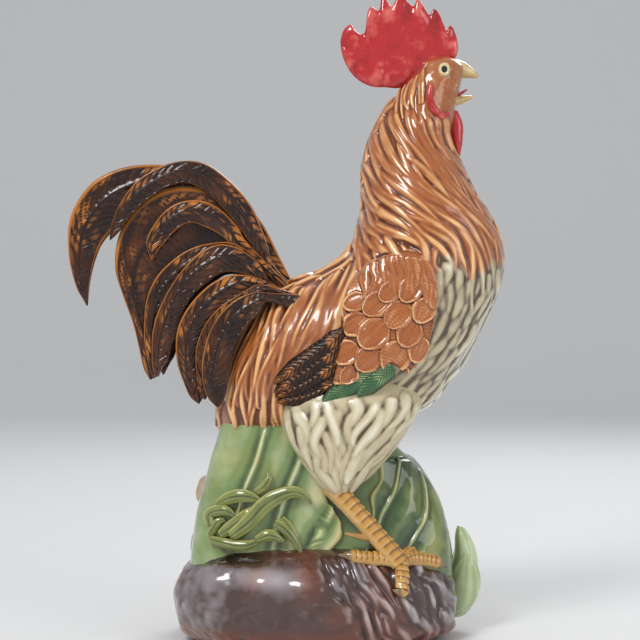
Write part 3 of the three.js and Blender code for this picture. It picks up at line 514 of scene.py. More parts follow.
BODY = Form([
    [-67, 70, -61, 60.5, 9, 0], [-64.5, 88.5, -43, 58.5, 27, 0], [-57, 116, -18, 58, 38, 0],
    [-42, 142, 10, 60, 45.5, 0], [-20, 161, 40, 66, 50, 0], [2, 169, 66, 78.5, 51, 0],
    [16, 182, 86, 102, 50.5, 0], [23, 198, 103, 132, 49, 0], [24, 212, 114, 163, 45, 0],
    [24, 227, 112.5, 189, 39.5, 0], [28, 245, 97, 216, 31.5, 0], [36, 262.5, 86, 243, 25, 0],
    [48, 280.5, 84.5, 266, 20.5, 0], [63, 295, 87.5, 279.5, 18.5, 0], [77, 298.7, 89, 286.5, 13.5, 0],
    [86, 296, 90, 290.5, 5, 0],
])
THIGH = Form([
    [50, 110, -8, 110, 20, 24], [58, 98, -18, 98, 23, 27], [63, 84, -25, 84, 26, 29.5],
    [55, 68, -24, 69, 25, 32], [45, 54, -17.4, 56, 20, 34], [33, 41, -9.6, 44, 15, 36],
    [21.6, 32.5, -2.4, 35, 10, 38], [15.6, 28, 2.4, 30.6, 5.5, 38.5],
])
MOUND = Form([
    [80, -30, -78, -30, 34, 0], [79, -6, -77, -6, 33.5, 0], [76, 11, -75, 11, 32.5, 0],
    [69, 30, -70.5, 30, 31, 0], [57.5, 48, -65.5, 48, 29.5, 0], [43.5, 62, -61.5, 62, 28, 0],
    [31, 76, -58, 76, 26, 0],
], power=3.0)

# Guides of the feathers, each from root to tip in view points
NAPE = [
    [(386, 88), (372, 106), (361, 126), (352, 150), (347, 176), (346, 204), (347, 230)],
    [(398, 94), (384, 112), (372, 133), (364, 156), (359, 182), (358, 208), (360, 236)],
]
SPINE = [
    [(352, 222), (338, 246), (318, 259), (284, 271), (248, 301), (222, 345), (209, 392), (205, 430)],
    [(364, 232), (348, 258), (326, 272), (294, 286), (262, 314), (236, 352), (222, 396), (219, 432)],
]
HACKLE = [
    [(441, 110), (449, 128), (455, 146), (463, 160), (474, 174), (487, 190), (499, 206), (508, 222),
     (514, 240), (516, 262), (515, 290)],
    [(428, 112), (434, 130), (441, 146), (451, 161), (463, 175), (475, 189), (487, 205), (498, 221),
     (507, 238), (513, 262), (513, 294)],
    [(415, 106), (420, 128), (428, 146), (438, 162), (452, 177), (463, 191), (473, 206), (485, 220),
     (497, 236), (506, 270), (506, 302)],
    [(400, 94), (402, 115), (409, 134), (421, 151), (434, 167), (450, 184), (463, 198), (476, 213),
     (490, 228), (500, 250), (501, 280), (497, 312)],
    [(386, 104), (388, 125), (395, 144), (405, 163), (417, 177), (434, 190), (452, 202), (468, 214),
     (480, 228), (489, 250), (493, 280), (490, 316)],
    [(374, 110), (374, 132), (381, 153), (391, 170), (407, 186), (424, 198), (442, 209), (457, 221),
     (469, 235), (478, 256), (481, 286), (478, 318)],
    [(364, 127), (365, 150), (372, 169), (382, 184), (398, 198), (415, 209), (434, 221), (450, 235),
     (459, 251), (465, 284), (466, 318)],
    [(357, 150), (358, 172), (365, 191), (377, 207), (393, 216), (410, 225), (428, 237), (441, 251),
     (449, 270), (453, 292), (455, 322)],
    [(353, 170), (355, 191), (360, 209), (368, 223), (382, 235), (396, 247), (410, 262), (422, 280),
     (428, 298)],
    [(352, 188), (356, 211), (358, 228), (363, 245), (372, 261), (382, 276), (390, 290), (396, 304)],
    [(353, 205), (353, 228), (352, 246), (357, 262), (364, 278), (371, 292), (376, 306)],
]
SADDLE = [
    [(269, 290), (256, 317), (239, 351), (225, 383), (220, 407), (225, 433)],
    [(284, 284), (270, 304), (256, 337), (244, 370), (237, 400), (239, 433)],
    [(303, 280), (288, 301), (276, 330), (265, 365), (256, 400), (256, 434)],
    [(321, 275), (307, 296), (296, 323), (286, 355), (276, 383), (272, 409), (274, 436)],
    [(340, 261), (326, 283), (316, 310), (305, 337), (291, 362), (277, 383), (276, 410), (284, 436)],
    [(354, 249), (345, 273), (335, 299), (324, 323), (312, 345), (296, 364), (290, 390), (300, 430)],
    [(360, 236), (356, 262), (347, 290), (341, 315), (334, 337), (325, 360), (318, 385), (318, 425)],
]
BREAST = [
    [(512, 246), (514, 276), (508, 306), (493, 334), (477, 360), (457, 385), (433, 411), (410, 426),
     (388, 440)],
    [(503, 250), (505, 272), (499, 300), (484, 326), (468, 352), (448, 377), (424, 402), (402, 416),
     (380, 430)],
    [(495, 262), (492, 288), (481, 315), (466, 341), (450, 363), (430, 384), (408, 402), (388, 414),
     (365, 430)],
    [(480, 262), (477, 290), (467, 318), (454, 341), (438, 361), (418, 381), (398, 398), (376, 412),
     (350, 428)],
    [(464, 258), (462, 285), (456, 312), (445, 336), (430, 356), (410, 375), (390, 392), (366, 408),
     (335, 426)],
    [(446, 250), (447, 280), (445, 308), (437, 334), (422, 354), (402, 373), (378, 390), (352, 405),
     (320, 424)],
    [(438, 258), (438, 284), (435, 308), (427, 330), (412, 350), (392, 368), (368, 384), (342, 400),
     (310, 420)],
]
CHEEK = [
    [(424, 66), (423, 78), (422, 92), (423, 104)],
    [(415, 70), (412, 84), (411, 98), (415, 110)],
    [(406, 77), (402, 90), (401, 102), (406, 116)],
    [(397, 84), (392, 96), (391, 108), (396, 122)],
]
THIGH_STRANDS = [
    [(276, 388), (283, 420), (292, 445), (305, 466), (318, 484), (329, 499)],
    [(305, 392), (306, 425), (310, 448), (318, 468), (328, 486), (335, 500)],
    [(335, 392), (333, 428), (332, 450), (334, 470), (338, 488), (340, 500)],
    [(370, 392), (362, 428), (354, 448), (349, 468), (346, 488), (345, 500)],
    [(402, 390), (390, 425), (375, 446), (362, 466), (352, 486), (348, 500)],
    [(428, 384), (415, 418), (398, 442), (380, 462), (362, 482), (351, 498)],
]


def hackle_zone(seen, luck):
    """Brown, but cream at the ends that hang over the breast."""
    limit = np.interp(seen[:, 0], (438, 447), (420, 268)) + 13 * luck
    return ease(-5, 5, seen[:, 1] - limit)


# Border of the brown plumage in view points, and the section where torso and neck meet
BROWN_EDGE = [(512, 238), (480, 258), (452, 262), (442, 276), (439, 300), (438, 330), (430, 356), (400, 384),
              (330, 396), (296, 402), (290, 436), (300, 470)]
BODY_SPLIT = 9.3


# Glazes


def srgb(red, green, blue):
    """Linear colour of an 8-bit sRGB colour."""
    shares = (red / 255, green / 255, blue / 255)
    return tuple(s / 12.92 if s <= 0.04045 else ((s + 0.055) / 1.055) ** 2.4 for s in shares)


GLAZES = {
    "brown": (srgb(92, 38, 12), srgb(170, 94, 40), srgb(240, 186, 124)),
    "cream": (srgb(82, 62, 36), srgb(202, 188, 152), srgb(246, 240, 220)),
    "black": (srgb(8, 4, 2), srgb(42, 19, 9), srgb(190, 116, 42)),
    "green": (srgb(16, 42, 20), srgb(46, 104, 54), srgb(205, 200, 140)),
    "leaf": (srgb(28, 54, 24), srgb(126, 150, 92), srgb(216, 218, 172)),
    # moss: a darker copy of the leaf glaze, painted shade for the front leaf in the body's shadow
    "moss": (srgb(16, 26, 12), srgb(62, 88, 46), srgb(164, 172, 118)),
    "grass": (srgb(36, 52, 20), srgb(132, 140, 72), srgb(208, 200, 132)),
    "bud": (srgb(92, 118, 80), srgb(182, 200, 150), srgb(220, 225, 190)),
    "comb": (srgb(96, 8, 10), srgb(184, 26, 32), srgb(238, 128, 112)),
    "rock": (srgb(20, 11, 9), srgb(76, 54, 48), srgb(186, 178, 184)),
    "rust": (srgb(34, 14, 8), srgb(118, 60, 42), srgb(190, 150, 130)),
    "stone": (srgb(120, 96, 68), srgb(190, 164, 130), srgb(220, 204, 176)),
    "ochre": (srgb(86, 52, 16), srgb(200, 146, 66), srgb(236, 204, 140)),
    "claw": (srgb(60, 44, 26), srgb(120, 96, 64), srgb(180, 160, 120)),
    "horn": (srgb(120, 88, 40), srgb(196, 168, 106), srgb(228, 212, 168)),
    "eye": (srgb(8, 6, 6), srgb(18, 12, 10), srgb(40, 30, 24)),
    "iris": (srgb(160, 130, 80), srgb(222, 200, 150), srgb(240, 228, 196)),
}
PARTS = ("groove", "body", "ridge")


class RoosterGlazes(bpy.types.PropertyGroup):
    """Colours of each glaze where it pools in a groove, on its body and where it breaks on a ridge"""


for glaze_name, three in GLAZES.items():
    for part, colour in zip(PARTS, three):
        RoosterGlazes.__annotations__[f"{glaze_name}_{part}"] = bpy.props.FloatVectorProperty(
            name=f"{glaze_name.capitalize()} {part}",
            description=f"Colour of the {glaze_name} glaze on its {part}",
            subtype="COLOR",
            size=3,
            min=0.0,
            max=1.0,
            default=colour,
        )


def distance(name, description, default):
    """A length in metres, of the scene's sizes."""
    return bpy.props.FloatProperty(
        name=name, description=description, default=default, min=0.0, precision=4, unit="LENGTH")


class RoosterSizes(bpy.types.PropertyGroup):
    """Sizes of the modelled plumage and of the rock's surface"""

    hackle_half: distance("Hackle half width", "Half width of a feather on the neck", 0.0034)
    saddle_half: distance("Saddle half width", "Half width of a feather on the back and flank", 0.0028)
    breast_half: distance("Breast half width", "Half width of a feather on the breast", 0.0058)
    thigh_half: distance("Thigh half width", "Half width of a lock on the thigh", 0.0052)
    feather_lift: distance("Feather lift", "How far a feather's tip stands over those below", 0.0012)
    feather_crown: distance("Feather crown", "How far a feather's middle stands over its edges", 0.0020)
    barb_pitch: distance("Barb pitch", "Distance between the barbs of a tail feather", 0.0062)
    barb_depth: distance("Barb depth", "Depth of the lines between a tail feather's barbs", 0.0009)
    rock_relief: distance("Rock relief", "Depth of the hollows in the rock's side", 0.0032)


def sizes_mm():
    """The sizes of the scene in millimetres."""
    group = bpy.context.scene.rooster_sizes
    return {name: getattr(group, name) * 1000 for name in RoosterSizes.__annotations__}


def colours_of(name):
    """Groove, body and ridge colour of a glaze."""
    group = bpy.context.scene.rooster_glazes
    return [tuple(getattr(group, f"{name}_{part}")) for part in PARTS]


def feed(tree, value, socket):
    """Feed a socket from another node's socket or with a plain value."""
    if isinstance(value, bpy.types.NodeSocket):
        tree.links.new(value, socket)
    else:
        socket.default_value = value


def calculate(tree, kind, a, b=0.0, clamp=False):
    """Output of a new math node for two sockets or numbers."""
    node = tree.nodes.new("ShaderNodeMath")
    node.operation = kind
    node.use_clamp = clamp
    feed(tree, a, node.inputs[0])
    feed(tree, b, node.inputs[1])
    return node.outputs[0]


# Weight of a feather's own tone, and scales of the streaks and barbs along and across a feather
TONE_SHARE = 0.12
STREAK_ALONG = 0.05
STREAK_ACROSS = 2.4
STREAK_TONE = 37.0
BARB_ALONG = 3.2
BARB_ACROSS = 7.0


def glaze_level_group():
    """Node group that tells how thin the glaze lies: the relief, plus clouds, streaks along the feather and
    its own tone, each taken from -0.5 to 0.5 and weighted, plus the sine of a phase that slants away from
    its shaft."""
    name = "glaze_level"
    if name in bpy.data.node_groups:
        return bpy.data.node_groups[name]
    tree = bpy.data.node_groups.new(name, "ShaderNodeTree")
    for label in ("Mottle", "Mottle Size", "Streak", "Barbs"):
        tree.interface.new_socket(label, in_out="INPUT", socket_type="NodeSocketFloat")
    for label in ("Level", "Zone"):
        tree.interface.new_socket(label, in_out="OUTPUT", socket_type="NodeSocketFloat")
    given, made = tree.nodes.new("NodeGroupInput"), tree.nodes.new("NodeGroupOutput")
    read = {}
    for f in FIELDS:
        node = tree.nodes.new("ShaderNodeAttribute")
        node.attribute_name = f
        read[f] = node.outputs["Fac"]
    place = tree.nodes.new("ShaderNodeTexCoord").outputs["Object"]
    cloud = tree.nodes.new("ShaderNodeTexNoise")
    cloud.inputs["Detail"].default_value = 4
    tree.links.new(place, cloud.inputs["Vector"])
    tree.links.new(given.outputs["Mottle Size"], cloud.inputs["Scale"])
    flow = tree.nodes.new("ShaderNodeCombineXYZ")
    scales = {"along": STREAK_ALONG, "across": STREAK_ACROSS, "tone": STREAK_TONE}
    for socket, (field, scale) in zip(flow.inputs, scales.items()):
        tree.links.new(calculate(tree, "MULTIPLY", read[field], scale), socket)
    streak = tree.nodes.new("ShaderNodeTexNoise")
    streak.inputs["Scale"].default_value = 1.7
    streak.inputs["Detail"].default_value = 2
    tree.links.new(flow.outputs[0], streak.inputs["Vector"])
    level = read["relief"]
    weights = (
        (cloud.outputs["Fac"], given.outputs["Mottle"]),
        (streak.outputs["Fac"], given.outputs["Streak"]),
        (read["tone"], TONE_SHARE),
    )
    for source, weight in weights:
        swing = calculate(tree, "SUBTRACT", source, 0.5)
        level = calculate(tree, "ADD", level, calculate(tree, "MULTIPLY", swing, weight))
    ahead = calculate(tree, "MULTIPLY", read["along"], BARB_ALONG)
    aside = calculate(tree, "MULTIPLY", calculate(tree, "ABSOLUTE", read["across"]), BARB_ACROSS)
    lean = calculate(tree, "SUBTRACT", ahead, aside)
    barbs = calculate(tree, "MULTIPLY", calculate(tree, "SINE", lean), given.outputs["Barbs"])
    level = calculate(tree, "ADD", level, barbs, clamp=True)
    tree.links.new(level, made.inputs["Level"])
    tree.links.new(read["zone"], made.inputs["Zone"])
    return tree


# Levels between which a glaze has its body colour
BODY_LEVELS = (0.47, 0.56)


def ramp(tree, level, three, low, high):
    """Colour of a glaze for how thin it lies: groove colour at low, body colour between the body's levels
    and ridge colour at high."""
    node = tree.nodes.new("ShaderNodeValToRGB")
    elements = node.color_ramp.elements
    for at in BODY_LEVELS:
        elements.new(at)
    groove, body, ridge = three
    for element, at, tint in zip(elements, (low, *BODY_LEVELS, high), (groove, body, body, ridge)):
        element.position = at
        element.color = (*tint, 1)
    tree.links.new(level, node.inputs[0])
    return node.outputs[0]


def glaze(name, main, second=None, rough=0.14, coat=0.7, mottle=0.25, mottle_size=110.0, streak=0.35,
          barbs=0.0, bump=0.00025, low=0.1, high=0.95, bend=1.5):
    """A glaze that is dark where it pools in a groove and pale where it runs thin over a ridge. A second
    glaze shows where the zone is 1. low and high are the levels of its groove and ridge colours, bump is in
    metres and bend its index of refraction."""
    material = bpy.data.materials.new(name)
    material.use_nodes = True
    tree = material.node_tree
    tree.nodes.clear()
    out = tree.nodes.new("ShaderNodeOutputMaterial")
    shader = tree.nodes.new("ShaderNodeBsdfPrincipled")
    tree.links.new(shader.outputs[0], out.inputs[0])
    level = tree.nodes.new("ShaderNodeGroup")
    level.node_tree = glaze_level_group()
    given = {"Mottle": mottle, "Mottle Size": mottle_size, "Streak": streak, "Barbs": barbs}
    for label, value in given.items():
        level.inputs[label].default_value = value
    colour = ramp(tree, level.outputs["Level"], colours_of(main), low, high)
    if second:
        mix = tree.nodes.new("ShaderNodeMix")
        mix.data_type = "RGBA"
        other = ramp(tree, level.outputs["Level"], colours_of(second), low, high)
        # The node's colour sockets are its inputs 6 and 7 and its output 2.
        tree.links.new(level.outputs["Zone"], mix.inputs[0])
        tree.links.new(colour, mix.inputs[6])
        tree.links.new(other, mix.inputs[7])
        colour = mix.outputs[2]
    tree.links.new(colour, shader.inputs["Base Color"])
    shader.inputs["Roughness"].default_value = rough
    shader.inputs["Coat Weight"].default_value = coat
    shader.inputs["Coat Roughness"].default_value = 0.05
    shader.inputs["IOR"].default_value = bend
    bumps = tree.nodes.new("ShaderNodeBump")
    bumps.inputs["Strength"].default_value = 0.6
    bumps.inputs["Distance"].default_value = bump
    tree.links.new(level.outputs["Level"], bumps.inputs["Height"])
    tree.links.new(bumps.outputs[0], shader.inputs["Normal"])
    return material


# Body

# Rings below and above the neck's seam, points of a ring from back to belly, highest relief of the plumage,
# and how far face and breast are raised
TORSO_RINGS = 266
NECK_RINGS = 205
HALF_RING = 172
PLUMAGE_CEILING = 3.3
FACE_RAISE = 2.6
BREAST_BASE = 1.0


def whole_ring(rings, fields):
    """A right half, from back to belly, and its mirror image as one closed ring."""
    both = {k: np.concatenate([v, v[:, -2:0:-1]], axis=1) for k, v in fields.items()}
    left = (rings * np.array([1, -1, 1]))[:, -2:0:-1]
    return np.concatenate([rings, left], axis=1), both


def part_of(rings, fields, first, last, sunk):
    """Rings first to last, with the one at the sunk end drawn in a little under its neighbour."""
    part = rings[first:last].copy()
    part[sunk] += (part[sunk].mean(0) - part[sunk]) * 0.02
    return part, {k: v[first:last] for k, v in fields.items()}


def build_body():
    """Torso, neck and head: breast, saddle and hackle feathers laid along their guides on the body's form.
    The rings lie equally far apart, taken over back and belly, on either side of the seam between torso and
    neck."""
    rng = np.random.default_rng(7)
    mm = sizes_mm()
    ends = smooth(BODY.rows, BODY.t)
    run = run_along(ends[:, 0:2]) + run_along(ends[:, 2:4])
    split = np.interp(BODY_SPLIT, BODY.t, run)
    spots = [np.linspace(0, split, TORSO_RINGS + 1), np.linspace(split, run[-1], NECK_RINGS)[1:]]
    sections = np.interp(np.concatenate(spots), run, BODY.t)
    t, angle = np.meshgrid(sections, np.linspace(0, math.pi, HALF_RING), indexing="ij")
    points = BODY.point(t, angle)
    skin = Skin(points, False, points.mean(1, keepdims=True) * np.array([1, 0, 1]))
    edge = BODY.under_view(smooth(BROWN_EDGE, np.linspace(0, len(BROWN_EDGE) - 1, 120)))
    ranks = np.argsort(edge[:, 2])
    skin.zone = ease(-2, 2, points[..., 0] - np.interp(points[..., 2], edge[ranks, 2], edge[ranks, 0]))
    lift, crown = mm["feather_lift"], mm["feather_crown"]
    hackle_half, saddle_half = mm["hackle_half"], mm["saddle_half"]
    for guides, sizes, places, rows, share, zone, wobble in (
        (NAPE, (hackle_half, lift * 0.7, crown), 3, 7, 0.26, 0.0, 0.3),
        (SPINE, (saddle_half, lift * 0.7, crown), 3, 9, 0.2, 0.0, 0.3),
        (BREAST, (mm["breast_half"], lift * 1.3, crown), 9, 9, 0.2, 1.0, 0.2),
        (SADDLE, (saddle_half, lift, crown), 18, 4, 0.55, 0.0, 0.6),
        (HACKLE, (hackle_half, lift, crown), 19, 5, 0.42, hackle_zone, 0.45),
        (CHEEK, (2.0, lift * 0.6, crown * 0.6), 7, 1, 0.95, 0.0, 0.3),
    ):
        lay_strands(skin, BODY, guides, rng, sizes, places, rows, share, zone=zone, wobble=wobble)
    right, down = seen_at(points)
    face = ease(424, 432, right) * ease(124, 112, down)
    freckles = layered(points, 4.0, 3)
    skin.height += 0.5 * face * freckles
    skin.zone = np.clip(skin.zone + face * (0.04 + 0.18 * freckles), 0, 1)
    cheek = ease(414, 427, right) * ease(134, 118, down)
    skin.height = np.maximum(skin.height, BREAST_BASE * skin.zone)
    moved, fields = skin.finish(PLUMAGE_CEILING, gain=1.35, raised=FACE_RAISE * cheek)
    # Painted shade: the cream on the lower breast is darkened towards its groove colour, standing for the
    # shade under the body.
    breast = fields["zone"] * ease(236, 262, down)
    fields["relief"] = np.clip(fields["relief"] - 0.22 * breast, 0, 1)
    rings, fields = whole_ring(moved, fields)
    brown = glaze("plumage_glaze", "brown", "cream", low=0.08, high=0.9)
    torso = part_of(rings, fields, 0, TORSO_RINGS + 2, -1)
    neck = part_of(rings, fields, TORSO_RINGS - 1, len(rings), 0)
    piece("torso", ["torso_shell_right", "torso_shell_left"], brown, [torso])
    piece("neck", ["neck_shell_right", "neck_shell_left", "head"], brown, [neck])


def whole_grid(form, rows, columns):
    """Section numbers and angles of a grid all round a form."""
    return np.meshgrid(np.linspace(0, form.last, rows), full_turn(columns), indexing="ij")


# Rings and points of a thigh, lift of its locks and how far its skin is raised
THIGH_GRID = (142, 232)
THIGH_LIFT = 1.5
THIGH_BASE = 1.2


def build_thighs():
    """Thighs: locks of cream feathers that run together at the hock, laid on the thigh's form. The half
    that faces the body has the same locks as the outer half."""
    rng = np.random.default_rng(11)
    mm = sizes_mm()
    t, angle = whole_grid(THIGH, *THIGH_GRID)
    points = THIGH.point(t, angle)
    skin = Skin(points, True, points.mean(1, keepdims=True))
    sizes = (mm["thigh_half"], THIGH_LIFT, 0.8 * mm["feather_crown"])
    lay_strands(skin, THIGH, THIGH_STRANDS, rng, sizes, places=10, rows=5, share=0.5, wobble=0.5)
    skin.height = np.maximum(skin.height, THIGH_BASE)
    skin.zone[:] = 1.0
    skin.height = np.where(np.sin(angle) < 0, np.roll(skin.height[:, ::-1], 1, 1), skin.height)
    look = glaze("thigh_glaze", "brown", "cream", rough=0.3, coat=0.35)
    pair("thigh", look, [skin.finish(PLUMAGE_CEILING, gain=1.45)])


# Wings

# Border of the covert pad in the side view, and how far the pad stands off the body
WING_COVERTS = [
    (64.8, 172.7), (70.7, 161.5), (71.9, 146.8), (69.5, 128), (63.6, 112), (53, 101), (42, 108), (33, 99.5),
    (20, 96), (7, 91), (6.5, 97), (9.4, 117.4), (13, 129.1), (10.6, 143.9), (14.7, 158.6), (24.7, 169.2),
    (44.2, 176.3),
]
COVERT_STAND = 9.0
SCALES = [
    (373, 334, 15.3, 220), (354, 324, 12.2, 214), (345, 353, 12.5, 222), (368, 360, 12.9, 226),
    (337, 374, 11.5, 222), (349, 376, 9.1, 226), (396, 358, 15.3, 236), (420, 351, 11.8, 244),
    (399, 378, 11.5, 236), (410, 334, 12.9, 236), (354, 301, 10.5, 206), (375, 304, 12.5, 214),
    (398, 315, 13.6, 226), (424, 311, 11.8, 244), (389, 292, 10.5, 216), (410, 290, 11.8, 232),
]
# Guides of the strands over the pad, then the shafts of the flight feathers and of the green feathers
CAPE = [
    [(366, 244), (364, 258), (362, 280), (360, 300)],
    [(380, 240), (382, 256), (383, 276), (382, 296)],
    [(393, 246), (395, 262), (397, 280), (396, 298)],
    [(405, 252), (408, 268), (410, 284), (410, 300)],
    [(416, 254), (421, 270), (426, 286), (428, 304)],
    [(428, 256), (434, 274), (438, 296), (440, 316)],
]
FLIGHT = [
    [(344, 331), (330, 343), (312, 356), (292, 370), (273, 384)],
    [(340, 346), (325, 358), (308, 370), (290, 382), (274, 393)],
    [(338, 362), (322, 373), (306, 383), (290, 390), (275, 397)],
    [(342, 378), (324, 388), (308, 395), (292, 399), (277, 402)],
]
GREEN = [
    [(392, 366), (384, 374), (374, 382), (364, 390), (357, 396)],
    [(376, 370), (362, 380), (348, 388), (334, 395), (322, 401)],
]


# Rings and points of the pad, and the highest relief on it
COVERT_GRID = (130, 420)
COVERT_CEILING = 3.0


def covert_pad(rows, columns):
    """A pad over the body: rings from its middle out to an outline in the side view, standing off by a
    distance that falls away in a quarter round at the border, and rings that close it underneath."""
    border = closed_curve(WING_COVERTS, columns)
    middle = border.mean(0)
    share = np.linspace(0.03, 1, rows)[:, None]
    flat = middle + (border - middle)[None] * share[..., None]
    drop = np.clip((share - 0.92) / 0.08, 0, 1)
    out = -1 + (COVERT_STAND + 1) * np.sqrt(np.maximum(1 - drop**2, 0)) * np.ones((1, columns))
    return BODY.over(flat, out), BODY.over(flat[::-12], -1.2)


SCALE_PLACES = 16


def lay_scales(skin):
    """Small rounded feathers with a raised border, each with its tip over the next. A scale is given by its
    middle in view points, its size and its direction in degrees."""
    rng = np.random.default_rng(5)
    u = np.linspace(0, 1, SCALE_PLACES)
    for x, y, size, turn in SCALES:
        turn = math.radians(turn + rng.uniform(-6, 6))
        ahead = np.array([math.cos(turn), -math.sin(turn)])
        line = BODY.under_view(np.array([x, y]) + (u[:, None] - 0.5) * 2.4 * size * ahead, COVERT_STAND)
        w = size * 0.66 * np.clip(u / 0.3, 0, 1) ** 0.5 * np.clip((1 - u) / 0.42, 0, 1) ** 0.5
        up = BODY.outward(line, COVERT_STAND)
        skin.lay(line, up, w, 0.2 + 1.7 * u, np.full(SCALE_PLACES, 0.5), rng.uniform(0.2, 1), rim=0.95)


# Points across a long feather on its upper side and beneath
ROOF_PLACES = 37
UNDER_PLACES = 7


def leaf_feather(path, half, out, count, pitch, cut, shaft=1.0):
    """A long feather over the body: across its path it is a low roof from shaft to edges, with slanting
    barbs that lie a pitch apart and are cut to a depth, and it is closed beneath. Its glaze pools along the
    edges."""
    seen = smooth(path, even(path, count))
    line = BODY.under_view(seen, out)
    up = BODY.outward(line, out)
    side = unit(np.cross(up, unit(np.gradient(line, axis=0))))
    u = np.linspace(0, 1, count)[:, None]
    w = half * np.clip(u / 0.12, 0.3, 1) ** 0.4 * np.clip((1 - u) / 0.3, 0, 1) ** 0.55 + 0.05
    c = np.concatenate([np.linspace(-1, 1, ROOF_PLACES), np.linspace(1, -1, UNDER_PLACES + 2)[1:-1]])[None]
    top = np.concatenate([np.ones(ROOF_PLACES), np.zeros(UNDER_PLACES)])[None]
    run = run_along(line)[:, None]
    worn = noise(np.stack([run + 0 * c, 3 * c + 0 * run], -1), 5.0, 6)
    barb = np.sin(2 * math.pi * ((run - np.abs(c) * half * 1.4) / pitch + 0.3 * worn)) * (np.abs(c) < 0.85)
    ridge = shaft * bell(c, 0, 0.09)
    height = np.where(top > 0, (1 - np.abs(c) ** 2.2) * 1.6 + ridge * 0.5 + cut * barb, -2.6)
    rings = line[:, None] + side[:, None] * (c * w)[..., None] + up[:, None] * height[..., None]
    pool = 0.75 * bell(np.abs(c), 1, 0.2) * ease(1.0, 0.9, run / run[-1])
    relief = np.where(top > 0, np.clip(0.5 + 1.2 * cut * barb + 0.14 * worn + 0.2 * ridge - pool, 0, 1), 0.2)
    return rings, {"relief": relief, "along": run, "across": c, "zone": np.clip(0.4 * worn, 0, 1)}


def build_wings():
    """Wings: a pad of small scales, with two green feathers and four dark flight feathers beneath."""
    top, under = covert_pad(*COVERT_GRID)
    skin = Skin(top, True, top.mean((0, 1)) + np.array([0, 40, 0]))
    rng = np.random.default_rng(3)
    sizes = (sizes_mm()["hackle_half"], 1.1, 1.5)
    lay_strands(skin, BODY, CAPE, rng, sizes, places=12, rows=3, share=0.6, out=COVERT_STAND)
    lay_scales(skin)
    moved, fields = skin.finish(COVERT_CEILING, spread=8, gain=1.5)
    fields = {k: np.concatenate([v, np.repeat(v[-1:], len(under), 0)]) for k, v in fields.items()}
    scaly = glaze("covert_glaze", "brown", mottle=0.25, streak=0.5, barbs=0.045)
    pair("wing_coverts", scaly, [(np.concatenate([moved, under]), fields)])
    dark = glaze("flight_glaze", "black", "brown", streak=0.2, coat=0.3, bend=1.3)
    flight = [leaf_feather(path, half=5.5, out=5.2 - 0.9 * i, count=110, pitch=3.6, cut=0.17)
              for i, path in enumerate(FLIGHT)]
    pair("flight_feathers", dark, flight)
    moss = glaze("wing_green_glaze", "green", streak=0.2)
    green = [leaf_feather(path, half=6.0, out=6.6 - 0.8 * i, count=90, pitch=2.6, cut=0.17, shaft=0.0)
             for i, path in enumerate(GREEN)]
    pair("green_coverts", moss, green)


# Tail

